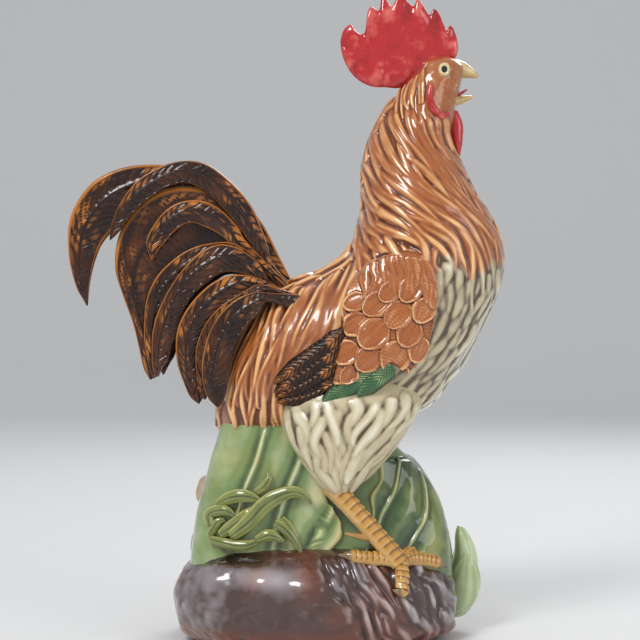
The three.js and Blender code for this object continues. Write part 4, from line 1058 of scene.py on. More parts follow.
# Two points of the root that all blades share, then the distance of each blade from the middle plane, and
# its outer and inner edge from root to tip
TAIL_ROOT = ((-13, 151), (-7, 136))
TAIL = {
    "side_covert": (30.0, [
        (-28.9, 151.8), (-39.1, 152.4), (-50.5, 148.2), (-60.1, 139.8), (-66.2, 130.2), (-69.8, 119.4),
        (-71.6, 108.5), (-71, 97.7), (-68, 88.7), (-63.1, 83.3)], [
        (-30.1, 145.2), (-36.1, 139.2), (-43.3, 131.4), (-48.1, 123), (-51.7, 114), (-54.1, 104.9),
        (-55.3, 95.9), (-56.5, 89.3), (-58.3, 85.1), (-60.7, 82.1)]),
    "lesser_sickle": (25.5, [
        (-26.6, 154.9), (-38.1, 156.8), (-49.5, 150.7), (-60.4, 143.5), (-68.3, 135), (-73.1, 125.9),
        (-75.5, 116.9), (-75.5, 107.2), (-74.3, 97.5), (-72.5, 87.9)], [
        (-24.2, 148.3), (-32.6, 147.1), (-41.1, 142.3), (-49.5, 136.2), (-55.6, 129), (-60.4, 120.5),
        (-64, 112), (-65.9, 103.6), (-67.1, 95.1), (-70.7, 86.7)]),
    "lower_sickle": (21.5, [
        (-26.7, 155.6), (-35.2, 159.9), (-46.7, 162.9), (-55.8, 162.3), (-65.5, 158.1), (-75.2, 149.6),
        (-82.5, 139.9), (-86.8, 130.1), (-88, 119.8), (-86.8, 108.3), (-83.7, 98.6), (-79.5, 88.9),
        (-74, 84)], [
        (-24.3, 150.2), (-32.8, 152), (-42.5, 152), (-51, 148.3), (-58.2, 142.3), (-64.3, 135),
        (-69.2, 126.5), (-71.6, 118), (-72.8, 109.5), (-72.8, 99.8), (-71.6, 92.5), (-71, 87.1),
        (-72.8, 84)]),
    "middle_sickle": (17.0, [
        (-28.6, 156.9), (-37.2, 169.7), (-48.8, 178.9), (-60.9, 181.9), (-71.9, 177.7), (-80.4, 170.3),
        (-87.8, 161.2), (-93.9, 151.5), (-99.3, 139.9), (-102.4, 128.3), (-103, 116.7), (-102.4, 105.7),
        (-100.6, 100.3)], [
        (-25.6, 152.1), (-35.3, 158.2), (-48.8, 163), (-59.7, 163), (-68.3, 157.6), (-76.2, 150.8),
        (-81.7, 142.9), (-85.9, 133.8), (-88.4, 124), (-90.8, 116.7), (-92, 111.8), (-95.1, 107),
        (-98.7, 100.3)]),
    "upper_sickle": (12.5, [
        (-29.4, 158.3), (-40.4, 174.2), (-53.9, 182.8), (-69.8, 182.1), (-82, 177.9), (-92.4, 170.5),
        (-100.4, 161.9), (-105.9, 150.3), (-107.8, 137.4), (-107.8, 122.8), (-105.9, 110.5),
        (-102.9, 99.5)], [
        (-26.9, 153.4), (-38, 162.6), (-50.2, 168.1), (-64.9, 168.1), (-75.9, 161.9), (-84.5, 153.4),
        (-90.6, 144.2), (-94.3, 133.8), (-96.7, 122.8), (-97.3, 115.4), (-98, 108.1), (-101.6, 98.9)]),
    "short_sickle": (10.0, [
        (-43, 181.6), (-50.3, 192.7), (-61.4, 203.7), (-72.4, 208.7), (-82.2, 208.7), (-90.8, 205.6),
        (-98.2, 199.4), (-103.7, 191.5), (-106.8, 184.1), (-105.6, 176.1), (-103.1, 170.6)], [
        (-51.6, 176.7), (-58.3, 184.1), (-65.7, 189), (-71.2, 191.5), (-77.3, 193.9), (-83.5, 192.7),
        (-89, 188.4), (-93.9, 182.9), (-98.2, 178), (-100.7, 173.7), (-102.5, 170.6)]),
    "main_sickle": (8.5, [
        (-27, 160.8), (-32, 181.1), (-41.2, 204.5), (-55.3, 221.1), (-71.9, 232.1), (-91, 232.1),
        (-110, 222.9), (-121.7, 209.4), (-128.5, 194), (-129.7, 184.8)], [
        (-30.7, 156.5), (-38.1, 173.1), (-51.6, 192.8), (-65.8, 208.8), (-79.9, 218), (-93.4, 216.1),
        (-107, 206.9), (-116.2, 197.7), (-122.9, 189.1), (-128.5, 183.6)]),
    "great_covert": (4.0, [
        (-33, 175), (-45, 197), (-63, 213), (-86, 218), (-108, 210.5), (-121, 195), (-126, 181.3),
        (-126.6, 165.9), (-122.3, 151.1), (-116.1, 133.8), (-112.4, 118.9), (-109.3, 105.4),
        (-105.6, 98.6)], [
        (-30, 152), (-42, 163), (-60, 172), (-77, 172), (-86, 164), (-93.9, 156), (-98.8, 147.4),
        (-100.7, 136.2), (-100.7, 125.1), (-99.4, 116.5), (-98.8, 109.1), (-100.7, 101.7), (-103.7, 97.9)]),
    "rear_sickle": (-4.8, [
        (-23, 171), (-38, 199), (-60, 219), (-88, 230.5), (-112, 232), (-131, 227.5), (-145.3, 217.6),
        (-155.9, 199), (-157.1, 177.2), (-152.7, 156.7), (-145.9, 144.3)], [
        (-36, 162), (-51, 187), (-67, 202), (-88, 212.5), (-106, 208.3), (-116, 202), (-124.5, 194.5),
        (-134.7, 182.8), (-139.7, 171), (-142.8, 157.4), (-144.1, 143.7)]),
}
SINGLE_BLADES = ("short_sickle", "main_sickle", "rear_sickle")
LEFT_SIDE_SHIFT = 9.2
BLADE_HALF = 3.6
EDGE_INSET = 0.45
RIM_RISE = 1.1
SHAFT = 0.12


def tail_blade(outer, inner, away, tone, mm, rows=228, columns=72):
    """A sickle feather between two edges in the side view. Its section is a flat lens with a raised shaft
    and raised rims, and with slanting barbs between them cut into both faces."""
    outer = np.array([TAIL_ROOT[0], *outer], float)
    inner = np.array([TAIL_ROOT[1], *inner], float)
    t = even((outer + inner) / 2, rows)
    a, b = smooth(outer, t), smooth(inner, t)
    a, b = a - unit(a - b) * EDGE_INSET, b + unit(a - b) * EDGE_INSET
    centre, across = (a + b) / 2, (a - b) / 2
    half = np.linalg.norm(across, axis=1)[:, None]
    run = run_along(centre)[:, None]
    turn = full_turn(columns)[None]
    c = np.cos(turn)
    face = signed_power(np.sin(turn), 0.72)
    place = np.stack([run + 0 * c, c * half], -1)
    off = np.abs(c - SHAFT)
    phase = (run + 1.3 * off * half) / mm["barb_pitch"] + 0.6 * noise(place, 12.0, 3)
    line = np.clip(1 - np.abs(np.sin(math.pi * phase)) / 0.45, 0, 1)
    field = ease(0.04, 0.14, off) * (1 - ease(0.74, 0.86, np.abs(c)))
    rim = bell(np.abs(c), 0.92, 0.09)
    spine = bell(c, SHAFT, 0.06) * (1 - ease(0.85, 1.0, run / run[-1]))
    thick = BLADE_HALF * np.minimum(1, 0.3 + half / 6)
    carved = RIM_RISE * (1 - np.maximum(rim, spine)) + mm["barb_depth"] * line * field
    depth = face * (thick - carved * np.minimum(thick / BLADE_HALF, 1))
    x = centre[:, :1] + across[:, :1] * c
    z = centre[:, 1:] + across[:, 1:] * c
    rings = np.stack([x, -away - depth, z], -1)
    seed = int(9 * tone)
    worn = np.clip(0.35 + 0.6 * layered(place, 20.0, 8 + seed) + 0.35 * c, 0, 1)
    fine = 0.5 + 0.5 * noise(place * np.array([0.5, 1.6]), 3.0, 5)
    relief = 0.36 + field * (0.85 * worn * fine * (1 - line) - 0.3 * line)
    relief = np.clip(relief + (0.3 + 0.35 * worn) * rim + 0.15 * spine, 0, 1)
    patches = layered(place * np.array([0.6, 1.3]), 11.0, 21 + seed)
    rusty = field * ease(0.3, 0.9, 0.5 + 0.5 * patches)
    return rings, {"relief": relief, "tone": tone, "along": run, "across": c, "zone": 0.22 * rusty}


def build_tail():
    """Tail: dark sickle feathers, the outer ones over the inner ones, and their mirror images set farther
    out."""
    mm = sizes_mm()
    dark = glaze("tail_glaze", "black", "brown", rough=0.2, coat=0.35, mottle=0.25, mottle_size=60.0,
                 streak=0.1, bump=0.0003, low=0.05, high=0.92, bend=1.35)
    for i, (name, (away, outer, inner)) in enumerate(TAIL.items()):
        tone = (i * 0.37) % 1
        near = tail_blade(outer, inner, away, tone, mm)
        if name in SINGLE_BLADES:
            piece(name, [name], dark, [near])
            continue
        piece(name + "_right", [name + "_right"], dark, [near])
        far = mirrored(tail_blade(outer, inner, away + LEFT_SIDE_SHIFT, tone, mm))
        piece(name + "_left", [name + "_left"], dark, [far])


# Head

# Outline of the comb, then stations of the wattle, the ear lobe, the beak and the tongue
COMB = [
    (39.5, 279), (32, 279.4), (24, 283.2), (18, 289.4), (13.9, 297.8), (12.4, 306.7), (13.9, 313.8),
    (16.7, 317.3), (19.5, 318.5), (21.7, 315), (24.6, 312.6), (27.3, 313.3), (28.2, 318.5), (29.3, 326.3),
    (31.6, 329.6), (34.4, 328), (36.5, 327.5), (37.6, 333.4), (39.2, 336.5), (41.7, 333.4), (44, 329.9),
    (45.9, 332.2), (48.4, 337.5), (51.4, 336), (53.6, 333.4), (57.8, 329.9), (59.4, 333.4), (61.1, 334.4),
    (63.7, 331), (67.9, 324.5), (69.2, 327), (71.2, 328.1), (73.8, 325.7), (76.8, 318.6), (78.6, 315),
    (79.5, 316.8), (81, 318), (82.7, 316.2), (85.1, 309.7), (86, 303.8), (85.1, 299), (84, 297.2), (80, 292),
    (66, 287), (52, 279),
]
COMB_HALF = 3.5
COMB_AROUND = 400
COMB_RINGS = 46
WATTLE = [(81, 264, 4, 3), (83.6, 257, 4.6, 3.6), (84.4, 248, 4.2, 3.8), (85, 240, 2.8, 3),
          (85.8, 235.5, 1, 1.2)]
WATTLE_SPREAD = 4.4
EAR_LOBE = [(67.6, 279, 1.6, 1.6), (66.6, 270, 2.2, 2.2), (69.5, 262.5, 2.4, 2.4), (75, 259.2, 2.2, 2.2),
            (79.5, 261.5, 1.5, 1.5)]
EAR_LOBE_LIFT = 0.6
UPPER_BEAK = [(80, 289, 8.5, 7.5), (86, 290, 6.4, 5.8), (91.5, 288.6, 4.3, 4), (96, 286.6, 2.4, 2.3),
              (98.2, 285.4, 0.9, 0.9)]
LOWER_BEAK = [(80, 270.5, 3.6, 5.4), (86.5, 271, 2.9, 4.4), (91.5, 272.4, 1.9, 2.8), (94.8, 273.4, 0.8, 1)]
TONGUE = [(84, 273.4, 1.1, 2.2), (88.2, 276, 1, 1.8), (91.6, 278.2, 0.6, 0.8)]
EYE_AT = (75.6, 287.5)
EYE_RADIUS = 4.4
EYE_RINGS = 40
EYE_AROUND = 48


def rod(rows, depth, count, around, lump=0.0, seed=0):
    """A tube through stations in the side view: x, z, half width across the line and half depth. Its ends
    are round, and noise presses it in. depth is where its middle line lies, as a number or a function of
    the line."""
    rows = np.asarray(rows, float)
    s = smooth(rows, even(rows[:, :2], count))
    flat = s[:, :2]
    ahead = unit(np.gradient(flat, axis=0))
    turn = full_turn(around)[None]
    u = np.linspace(0, 1, count)
    close = np.sqrt(np.clip(np.minimum(u / 0.03, (1 - u) / 0.03), 0.02, 1))[:, None]
    middle = depth(flat) if callable(depth) else np.full(count, float(depth))
    across = s[:, 2:3] * close * np.cos(turn)
    x = flat[:, :1] - ahead[:, 1:] * across
    y = middle[:, None] + s[:, 3:4] * close * np.sin(turn)
    z = flat[:, 1:] + ahead[:, :1] * across
    rings = np.stack([x, y, z], -1)
    centre = np.stack([flat[:, 0], middle, flat[:, 1]], -1)[:, None]
    rings = rings + unit(rings - centre) * ((layered(rings, 7.0, seed) - 1) * lump * close)[..., None]
    relief = np.clip(0.55 + 0.35 * layered(rings, 5.0, seed + 4), 0, 1)
    return rings, {"relief": relief, "along": run_along(flat)[:, None], "across": np.cos(turn)}


def comb_shell():
    """The comb: rings spread from a short spine to the comb's outline on the near side, meet there, and
    come back on the far side. It thins in a round edge, and folds, pleats and flutes dent its two faces,
    all but the spine."""
    border = closed_curve(COMB, COMB_AROUND)
    ahead = unit(np.roll(border, -1, 0) - np.roll(border, 1, 0))
    border = border - np.stack([-ahead[:, 1], ahead[:, 0]], -1) * 0.25
    x = np.clip(border[:, 0], 24, 78)
    open_by = 0.04 * np.clip((x - 23) / 4, 0.5, 1) * np.clip((79 - x) / 4, 0.5, 1)
    spine = np.stack([x, 299 + np.sign(border[:, 1] - 300) * open_by], -1)
    share = np.sin(np.linspace(0, math.pi / 2, COMB_RINGS))[:, None, None]
    flat = spine[None] + (border - spine)[None] * share
    fold = layered(np.concatenate([flat, 0 * flat[..., :1]], -1), 9.0, 2)
    pleat = np.sin(run_along(border)[None] / 4.2 + 1.5 * fold) * ease(0.2, 0.9, share[..., 0])
    flute = np.sin(run_along(border)[None] / 1.9) * bell(flat[..., 1], 294, 9)
    flute = flute * ease(0.2, 0.6, share[..., 0])
    dent = np.clip(0.5 + 0.4 * fold + 0.3 * pleat + 0.25 * flute, 0, 1)
    depth = 1.8 * (0.5 - (dent - 0.5) * ease(0, 0.3, share[..., 0]))
    front = np.sqrt(np.maximum(1 - share[..., 0] ** 6, 0)) * (COMB_HALF - depth)
    near = np.stack([flat[..., 0], -front, flat[..., 1]], -1)
    far = mirrored((near, None))[0][::-1][1:]
    relief = np.clip(0.25 + 0.5 * dent, 0, 1)
    return np.concatenate([near, far]), {"relief": np.concatenate([relief, relief[::-1][1:]])}


def eye_shell():
    """An eye: a domed disc with a raised ring round the pupil, looking sideways out of the head."""
    at = np.array([EYE_AT])
    place, up = BODY.over(at), BODY.outward(BODY.over(at))
    up = unit(up * np.array([1, 1, 0.6]))
    side = unit(np.cross(up, [0, 0, 1]))
    over = np.cross(side, up)
    share = np.linspace(0.04, 1, EYE_RINGS)[:, None]
    turn = full_turn(EYE_AROUND)[None]
    dome = 1.7 * np.sqrt(np.maximum(1 - share**2, 0)) + 0.5 * bell(share, 0.72, 0.14) - 0.4
    spread = side * (share * np.cos(turn))[..., None] * EYE_RADIUS * 0.86
    spread = spread + over * (share * np.sin(turn))[..., None] * EYE_RADIUS
    front = place + spread + up * (dome * np.ones_like(turn))[..., None]
    behind = place + spread[::-8] * 0.9 - up * 2.5
    zone = 1 - ease(0.44, 0.54, share) * (1 - ease(0.93, 1.0, share)) * np.ones_like(turn)
    zone = np.concatenate([zone, np.ones((len(behind), EYE_AROUND))])
    return np.concatenate([front, behind]), {"zone": zone}


def lobe_depth(flat):
    """Depth of the ear lobe's middle line, just off the head."""
    return BODY.over(flat)[:, 1] - EAR_LOBE_LIFT


def build_head():
    """Comb, wattles, lobes, beak, tongue and eyes."""
    red = glaze("comb_glaze", "comb", rough=0.1, mottle=0.5, mottle_size=260.0, streak=0.1)
    horn = glaze("horn_glaze", "horn", mottle=0.3, mottle_size=200.0, streak=0.3)
    piece("comb", ["comb"], red, [comb_shell()])
    wattle = rod(WATTLE, -WATTLE_SPREAD, count=60, around=40, lump=0.4, seed=3)
    pair("wattle", red, [wattle])
    lobe = rod(EAR_LOBE, lobe_depth, count=60, around=28, lump=0.15, seed=6)
    pair("ear_lobe", red, [lobe])
    for name, rows, count, around, lump, seed, skin, slot in (
        ("upper_beak", UPPER_BEAK, 50, 40, 0.15, 1, horn, "horn_glaze"),
        ("lower_beak", LOWER_BEAK, 40, 36, 0.1, 2, horn, "horn_glaze"),
        ("tongue", TONGUE, 24, 20, 0.03, 2, red, "mouth_glaze"),
    ):
        piece(name, [name], skin, [rod(rows, 0, count, around, lump, seed)])
    look = glaze("eye_glaze", "iris", "eye", rough=0.06, coat=1.0, mottle=0.1, streak=0.0)
    pair("eye", look, [eye_shell()])


# Legs

# Place of the right hock, and the foot's place as x and its distance from the middle plane
HOCK = np.array([9.0, -38.5, 35.0])
FOOT = (ROCK_FRONT - 38, ROCK_DEPTH / 2 - 20)
# Reach forward and sideways of each toe, and how far it bows
TOES = ((30, 22, 2), (4, -19, 0), (28, 36, 6), (-37, -2, 0))
TOE_RADIUS = 4.6
SHANK_PLACES = 150
SPUR_PLACES = 40
TOE_PLACES = 100
LEG_AROUND = 44


def on_rock(x, y):
    """A point on the rock's upper side; past the shoulder it is drawn back."""
    angle = np.arctan2(y, x - ROCK_CENTRE)
    reach = rock_plan(angle)
    share = np.minimum(np.hypot(x - ROCK_CENTRE, y) / reach, SHOULDER_SHARE)
    z = -(ROCK_HEIGHT - ROCK_WAIST) * (1 - (1 - share**ROCK_SIDE_POWER) ** (1 / ROCK_SIDE_POWER))
    out = share * reach - rock_dent(angle, z)
    return np.stack([ROCK_CENTRE + out * np.cos(angle), out * np.sin(angle), z], -1)


def scuted(path, radii, pitch, count, depth, seed):
    """A leg or toe: a tube covered by overlapping plates, which rise along it to their edges a pitch apart.
    Its underside, or back, is smooth."""
    line = smooth(path, even(path, count))
    run = run_along(line)[:, None]
    turn = full_turn(LEG_AROUND)[None]
    ragged = layered(np.stack([run + 0 * turn, 6 * turn + 0 * run], -1), 6.0, seed)
    phase = run / pitch + 0.12 * np.cos(2 * turn) + 0.08 * ragged
    saw = phase - np.floor(phase)
    plate = saw**0.7 * (1 - ease(0.86, 1.0, saw)) * (1 - 0.6 * bell(np.sin(turn + 2.4), 0, 0.16))
    plate = 1 - (1 - plate) * ease(-0.8, -0.25, np.sin(turn))
    radii = radii(np.linspace(0, 1, count))
    rings = tube(line, radii, LEG_AROUND, up=(0.3, 0.2, 1), lumps=depth * (plate - 1))
    return rings, {"relief": np.clip(0.15 + 0.6 * plate, 0, 1), "along": run, "across": np.cos(turn)}


def toe_radius(v):
    """Radius along a toe, with knuckles, a claw and a round end."""
    knuckles = 4.7 - 0.5 * np.abs(np.sin(2.5 * math.pi * v))
    return (knuckles - 3.3 * ease(0.72, 1.0, v)) * np.where(v > 0.995, 0.5, 1)


def shank_radius(u):
    """Radius along a shank, which narrows downwards and at its middle."""
    return 6.9 - 0.6 * u - 0.5 * np.sin(math.pi * u)


def build_legs():
    """Shanks with a spur, and feet of four toes with claws."""
    skin = glaze("leg_glaze", "ochre", "claw", mottle=0.3, streak=0.1, rough=0.2)
    ankle = on_rock(FOOT[0], -FOOT[1]) + np.array([0, 0, TOE_RADIUS * 0.5])
    bone = np.array([HOCK + np.array([-3, 0, 3]), HOCK + (ankle - HOCK) * 0.5, ankle])
    shank = scuted(bone, shank_radius, pitch=5.0, count=SHANK_PLACES, depth=0.9, seed=4)
    root = HOCK + (ankle - HOCK) * 0.66
    tip = root + np.array([-20, -2, 2.4])
    thorn = np.array([root, (root + tip) / 2 + np.array([0, 0, -1.0]), tip])
    radii = 3.4 * (1 - 0.8 * np.linspace(0, 1, SPUR_PLACES))
    spur = tube(smooth(thorn, even(thorn, SPUR_PLACES)), radii, count=24)
    pair("shank", skin, [shank, (spur, {"relief": 0.6, "zone": 0.4})])
    shells = []
    u = np.linspace(0, 1, 30)
    v = np.linspace(0, 1, TOE_PLACES)[:, None]
    for k, (dx, dy, bow) in enumerate(TOES):
        path = on_rock(FOOT[0] + dx * u, -(FOOT[1] - dy * u - bow * np.sin(math.pi * u)))
        path[:, 2] += TOE_RADIUS * 0.4 * (1 - 0.6 * u) + 0.45 * np.sin(2.5 * math.pi * u)
        rings, fields = scuted(path, toe_radius, pitch=3.4, count=TOE_PLACES, depth=0.7, seed=10 + k)
        fields["zone"] = ease(0.76, 0.84, v)
        fields["relief"] = np.where(v > 0.78, 0.6, fields["relief"])
        shells.append((rings, fields))
    pair("foot", skin, shells)


# Rock

# Middle and half sizes of the two stones, and their rings and points
BOULDER = ((-60, 27, -7), (25, 21, 25))
PEBBLE = ((-68, 24, 26), (12, 11, 13))
STONE_GRID = (80, 120)


# Points of a ring, mean reach of the rock, and share of the reach in which its top eases to the vent
ROCK_AROUND = 470
ROCK_MEAN_REACH = 78
TOP_SHARE = 0.3


def rock_rings(inset, count):
    """Rings of the rock's outside, or of its hollow: from the vent out over the top, down the side and in
    at the foot. Inside, all reaches are shorter by the inset, and the top is lower by it. Within the top's
    share of the reach the rings ease from the vent's circle to the rock's plan."""
    rise = ROCK_HEIGHT - ROCK_WAIST
    lean = np.linspace(0, math.pi / 2, 400)
    down = np.linspace(0, ROCK_WAIST, 60)[1:]
    share = np.concatenate([np.sin(lean) ** (2 / ROCK_SIDE_POWER),
                            (1 - (down / ROCK_UNDERCUT) ** ROCK_SIDE_POWER) ** (1 / ROCK_SIDE_POWER)])
    height = np.concatenate([(rise - inset) * np.cos(lean) ** (2 / ROCK_SIDE_POWER), -down]) - rise
    run = run_along(np.stack([share * ROCK_MEAN_REACH, height], -1))
    at = np.linspace(0, run[-1], count)
    share, height = np.interp(at, run, share)[:, None], np.interp(at, run, height)[:, None]
    turn = full_turn(ROCK_AROUND)[None]
    near = np.clip(share / TOP_SHARE, 0, 1)
    hollows = 0 if inset else rock_dent(turn, height)
    reach = np.maximum(share, TOP_SHARE) * (rock_plan(turn) - inset) - hollows
    x = (VENT_X + VENT_RADIUS * np.cos(turn)) * (1 - near) + (ROCK_CENTRE + reach * np.cos(turn)) * near
    y = VENT_RADIUS * np.sin(turn) * (1 - near) + reach * np.sin(turn) * near
    return np.stack([x, y, height + 0 * x], -1)


# Rings outside and in the hollow
ROCK_RINGS = 178
HOLLOW_RINGS = 28


def rock_shell(depth):
    """The rock. On its right side the rear end is knobbly, with a bark-like ledge over a bare patch, then
    comes a broad smooth swelling, and folds run down and forward over the rest. All of it presses the side
    in by up to depth. The walls run on round the foot and up the hollow inside. Folds and creases lie where
    noise that is drawn out along their slant passes zero, knobs are plain noise, and ledge, swelling and
    bare patch are bells round a view point."""
    outer, inner = rock_rings(0, ROCK_RINGS), rock_rings(ROCK_WALL, HOLLOW_RINGS)
    n = normals(outer, True)
    if (n * (outer - outer.mean((0, 1)))).sum() < 0:
        n = -n
    x, y, z = outer[..., 0], outer[..., 1], outer[..., 2]
    right, down = seen_at(outer)
    near = y < 0
    big, lumps = layered(outer, 34.0, 21), layered(outer, 9.0, 5)
    along = (x * 0.5 - z * 0.87) / 20.0
    across = x * 0.87 + z * 0.5 + 5 * layered(outer, 26.0, 12)
    folds = np.stack([across / 4.6, along, y / 26.0], -1)
    folds = 1 - ease(0.0, 0.55, np.abs(noise(folds, 1.0, 9)))
    creases = np.stack([across / 2.8, along * 1.5, y / 14.0], -1)
    creases = 1 - ease(0.0, 0.5, np.abs(noise(creases, 1.0, 15)))
    front = ease(-10, 12, right - 303 - 0.6 * (down - 548))
    folded = np.where(near, front, ease(-0.3, 0.4, noise(outer, 40.0, 31)))
    bare = near * bell(right, 208, 17) ** 2 * bell(down, 577, 19) ** 2
    swelling = near * bell(right, 274, 44) * bell(down, 579, 21)
    ledge = near * bell(down, 556, 7) * ease(186, 198, right) * ease(274, 256, right)
    knobs = np.clip(1 - folded - swelling, 0, 1) * (1 - bare)
    dent = 0.1 * (1 - big) + folded * (0.62 * folds + 0.25 * creases)
    dent = dent + knobs * 0.5 * (0.7 - lumps) + ledge * 0.6 * (0.8 - layered(outer, 5.0, 8))
    dent = blur(np.clip(dent, 0, 1), 2, True) * ease(2.0, 10.0, -z)
    outer = outer - n * (dent * depth)[..., None]
    outer[-1, :, 2] = -ROCK_HEIGHT
    relief = 0.5 + (0.9 + 0.7 * folded) * (blur(dent, 24, True) - dent)
    # Painted reflection: a broad soft band over the swelling lifts the glaze towards its pale lilac-grey
    # ridge colour, standing for a window's reflection.
    painted_reflection = near * bell(right, 262, 40) * bell(down, 578 + 0.08 * (right - 262), 15)
    relief = relief + 0.42 * painted_reflection * (1 + 0.4 * big) + 0.12 * near * ease(236, 205, right) - 0.34 * ledge
    warm = ease(-44, -56, z) + 0.7 * near * bell(right, 308, 14) * bell(down, 578, 26)
    zone = np.clip(warm + 0.5 * ease(0.1, 0.6, noise(outer, 26.0, 44)), 0, 1)
    fields = {"relief": np.clip(relief, 0, 1), "zone": zone, "tone": 0.5 + 0.5 * big}
    fields = {k: np.concatenate([v, np.full((len(inner), v.shape[1]), 0.5)]) for k, v in fields.items()}
    return np.concatenate([outer, inner[::-1]]), {"loop": True, **fields}


def dented_ball(at, radii, size):
    """A stone: an ellipsoid pressed in by noise."""
    rows, columns = STONE_GRID
    lean = np.linspace(0.03, math.pi - 0.03, rows)[:, None]
    spin = full_turn(columns)[None]
    ball = np.stack([np.sin(lean) * np.cos(spin), np.sin(lean) * np.sin(spin), np.cos(lean) + 0 * spin], -1)
    dents = 0.1 * (layered(ball * np.array(radii), size, 17, 4) - 1)
    rings = np.array(at) + ball * np.array(radii) * (1 + dents)[..., None]
    return rings, {"relief": np.clip(0.8 + dents * 3, 0, 1)}


def build_rock():
    """Rock with the boulder and the pale stone behind it."""
    dark = glaze("rock_glaze", "rock", "rust", rough=0.2, mottle=0.3, mottle_size=36.0, streak=0.0,
                 bump=0.0006)
    pale = glaze("stone_glaze", "stone", rough=0.45, coat=0.1, mottle=0.5, streak=0.0)
    piece("rock", ["rock_base"], dark, [rock_shell(sizes_mm()["rock_relief"])])
    piece("rear_boulder", ["rear_boulder"], dark, [dented_ball(*BOULDER, 13.0)])
    piece("pebble", ["pebble"], pale, [dented_ball(*PEBBLE, 7.0)])


# Leaf mound, grass and bud

# Free edge of each leaf as x, z, from its foot up, and its veins in view points
REAR_LEAF_EDGE = [(2, -30), (10, -2), (14, 14), (6, 34), (-6, 77)]
FRONT_LEAF_EDGE = [(24, -30), (27, 0), (30, 24), (35, 52)]
REAR_LEAF_TOP = 76
FRONT_LEAF_TOP = 52
LEAF_THICKNESS = 3.0
LEAF_CEILING = 2.2
LEAF_GRID = (130, 260)
VEIN_PLACES = 40
REAR_VEINS = [
    [(265, 428), (256, 460), (245, 487), (236, 515), (228, 548)],
    [(308, 438), (299, 463), (288, 489), (279, 516), (272, 552)],
    [(350, 470), (340, 495), (329, 518), (318, 536), (308, 556)],
]
FRONT_VEINS = [
    [(401, 446), (400, 468), (395, 492), (382, 516), (372, 548)],
    [(420, 464), (428, 490), (428, 514), (418, 534), (408, 550)],
]


def lay_veins(skin, veins):
    """A ridge along each vein of a leaf, which bulges between its veins. Returns each point's distance from
    a vein."""
    u = np.linspace(0, 1, VEIN_PLACES)
    away = np.full(skin.height.shape, 99.0)
    for vein in veins:
        line = MOUND.under_view(smooth(vein, u * (len(vein) - 1)), LEAF_THICKNESS)
        slim = (1 - 0.35 * u) * np.clip(np.minimum(u, 1 - u) / 0.1, 0, 1) ** 0.5
        up = MOUND.outward(line, LEAF_THICKNESS)
        skin.lay(line, up, 1.6 * slim + 0.1, 0 * u, 1.5 * slim, 0.9, power=1.2)
        for spot in line:
            away = np.minimum(away, np.linalg.norm(skin.p - spot, axis=-1))
    skin.height += 1.5 * ease(1.0, 13, away)
    return away


def wrapped_leaf(edge, rear, veins, top):
    """A leaf round one end of the mound: a strip between two lines of the mound's form, thick, with a
    rolled border, a wavy free edge and veins raised on it."""
    edge = np.array(edge, float)
    rows, columns = LEAF_GRID
    z = np.linspace(-30, top, rows)
    free = np.interp(z, edge[:, 1], edge[:, 0]) + 1.6 * np.sin(z / 5.5) + 0.8 * np.sin(z / 2.7)
    t = np.interp(z, MOUND.centre[:, 1], MOUND.t)
    centre, up = MOUND.section(t)[:2]
    cosine = np.clip((free - centre[:, 0]) / up[:, 0], -0.98, 0.98)
    first = np.arccos(signed_power(cosine, MOUND.power / 2))[:, None]
    u = np.linspace(0, 1, columns)[None]
    angle = first + (2 * math.pi - 2 * first) * u if rear else first - 2 * first * u
    border = np.minimum(u, 1 - u) * 2
    rise = np.clip(np.minimum(border / 0.02, ((top - z) / 3)[:, None]), 0, 1)
    out = 0.4 + (LEAF_THICKNESS - 0.4) * np.sqrt(1 - (1 - rise) ** 2)
    t = t[:, None] * np.ones_like(u)
    points = MOUND.point(t, angle, out)
    skin = Skin(points, False, np.array([centre[0, 0], 0, 20.0]))
    away = lay_veins(skin, veins)
    soft = layered(points, 16.0, 3)
    skin.height += 0.8 * soft
    moved, fields = skin.finish(LEAF_CEILING, gain=0.4)
    lip = 1 - ease(0.0, 0.045, border)
    tints = 0.45 * lip - 0.2 * bell(away, 3.6, 2.0) + 0.35 * bell(away, 0, 1.3) + 0.14 * ease(4, 14, away)
    fields["relief"] = np.clip(fields["relief"] + tints, 0, 1)
    fields["zone"] = np.clip(0.6 * lip + 0.7 * ease(-0.1, 0.6, layered(points, 17.0, 29)), 0, 1)
    under = MOUND.point(t[:, ::-8], angle[:, ::-8], -0.5)
    fields = {k: np.concatenate([v, v[:, ::-8]], axis=1) for k, v in fields.items()}
    return np.concatenate([moved, under], axis=1), fields


MOUND_GRID = (64, 260)


def build_mound():
    """Leaf mound, folded up and down, with a leaf wrapped round each end."""
    leaf = glaze("leaf_glaze", "leaf", "grass", mottle=0.45, mottle_size=50.0, streak=0.0)
    # Painted shade: the front leaf takes this darker copy of the leaf glaze, standing for the shade that the
    # body casts on it.
    deep = glaze("deep_leaf_glaze", "moss", "grass", mottle=0.4, mottle_size=60.0, streak=0.0)
    t, angle = whole_grid(MOUND, *MOUND_GRID)
    fold = 0.5 * np.sin(9 * angle + 1.4 * t) + 0.5 * layered(MOUND.point(t, angle), 12.0, 7)
    rings = MOUND.point(t, angle, -1.1 + 1.0 * fold)
    fields = {"relief": np.clip(0.35 + 0.3 * fold, 0, 1)}
    piece("leaf_mound", ["leaf_mound"], leaf, [(rings, fields)])
    rear = wrapped_leaf(REAR_LEAF_EDGE, True, REAR_VEINS, REAR_LEAF_TOP)
    piece("rear_leaf", ["rear_leaf"], leaf, [rear])
    front = wrapped_leaf(FRONT_LEAF_EDGE, False, FRONT_VEINS, FRONT_LEAF_TOP)
    piece("front_leaf", ["front_leaf"], deep, [front])


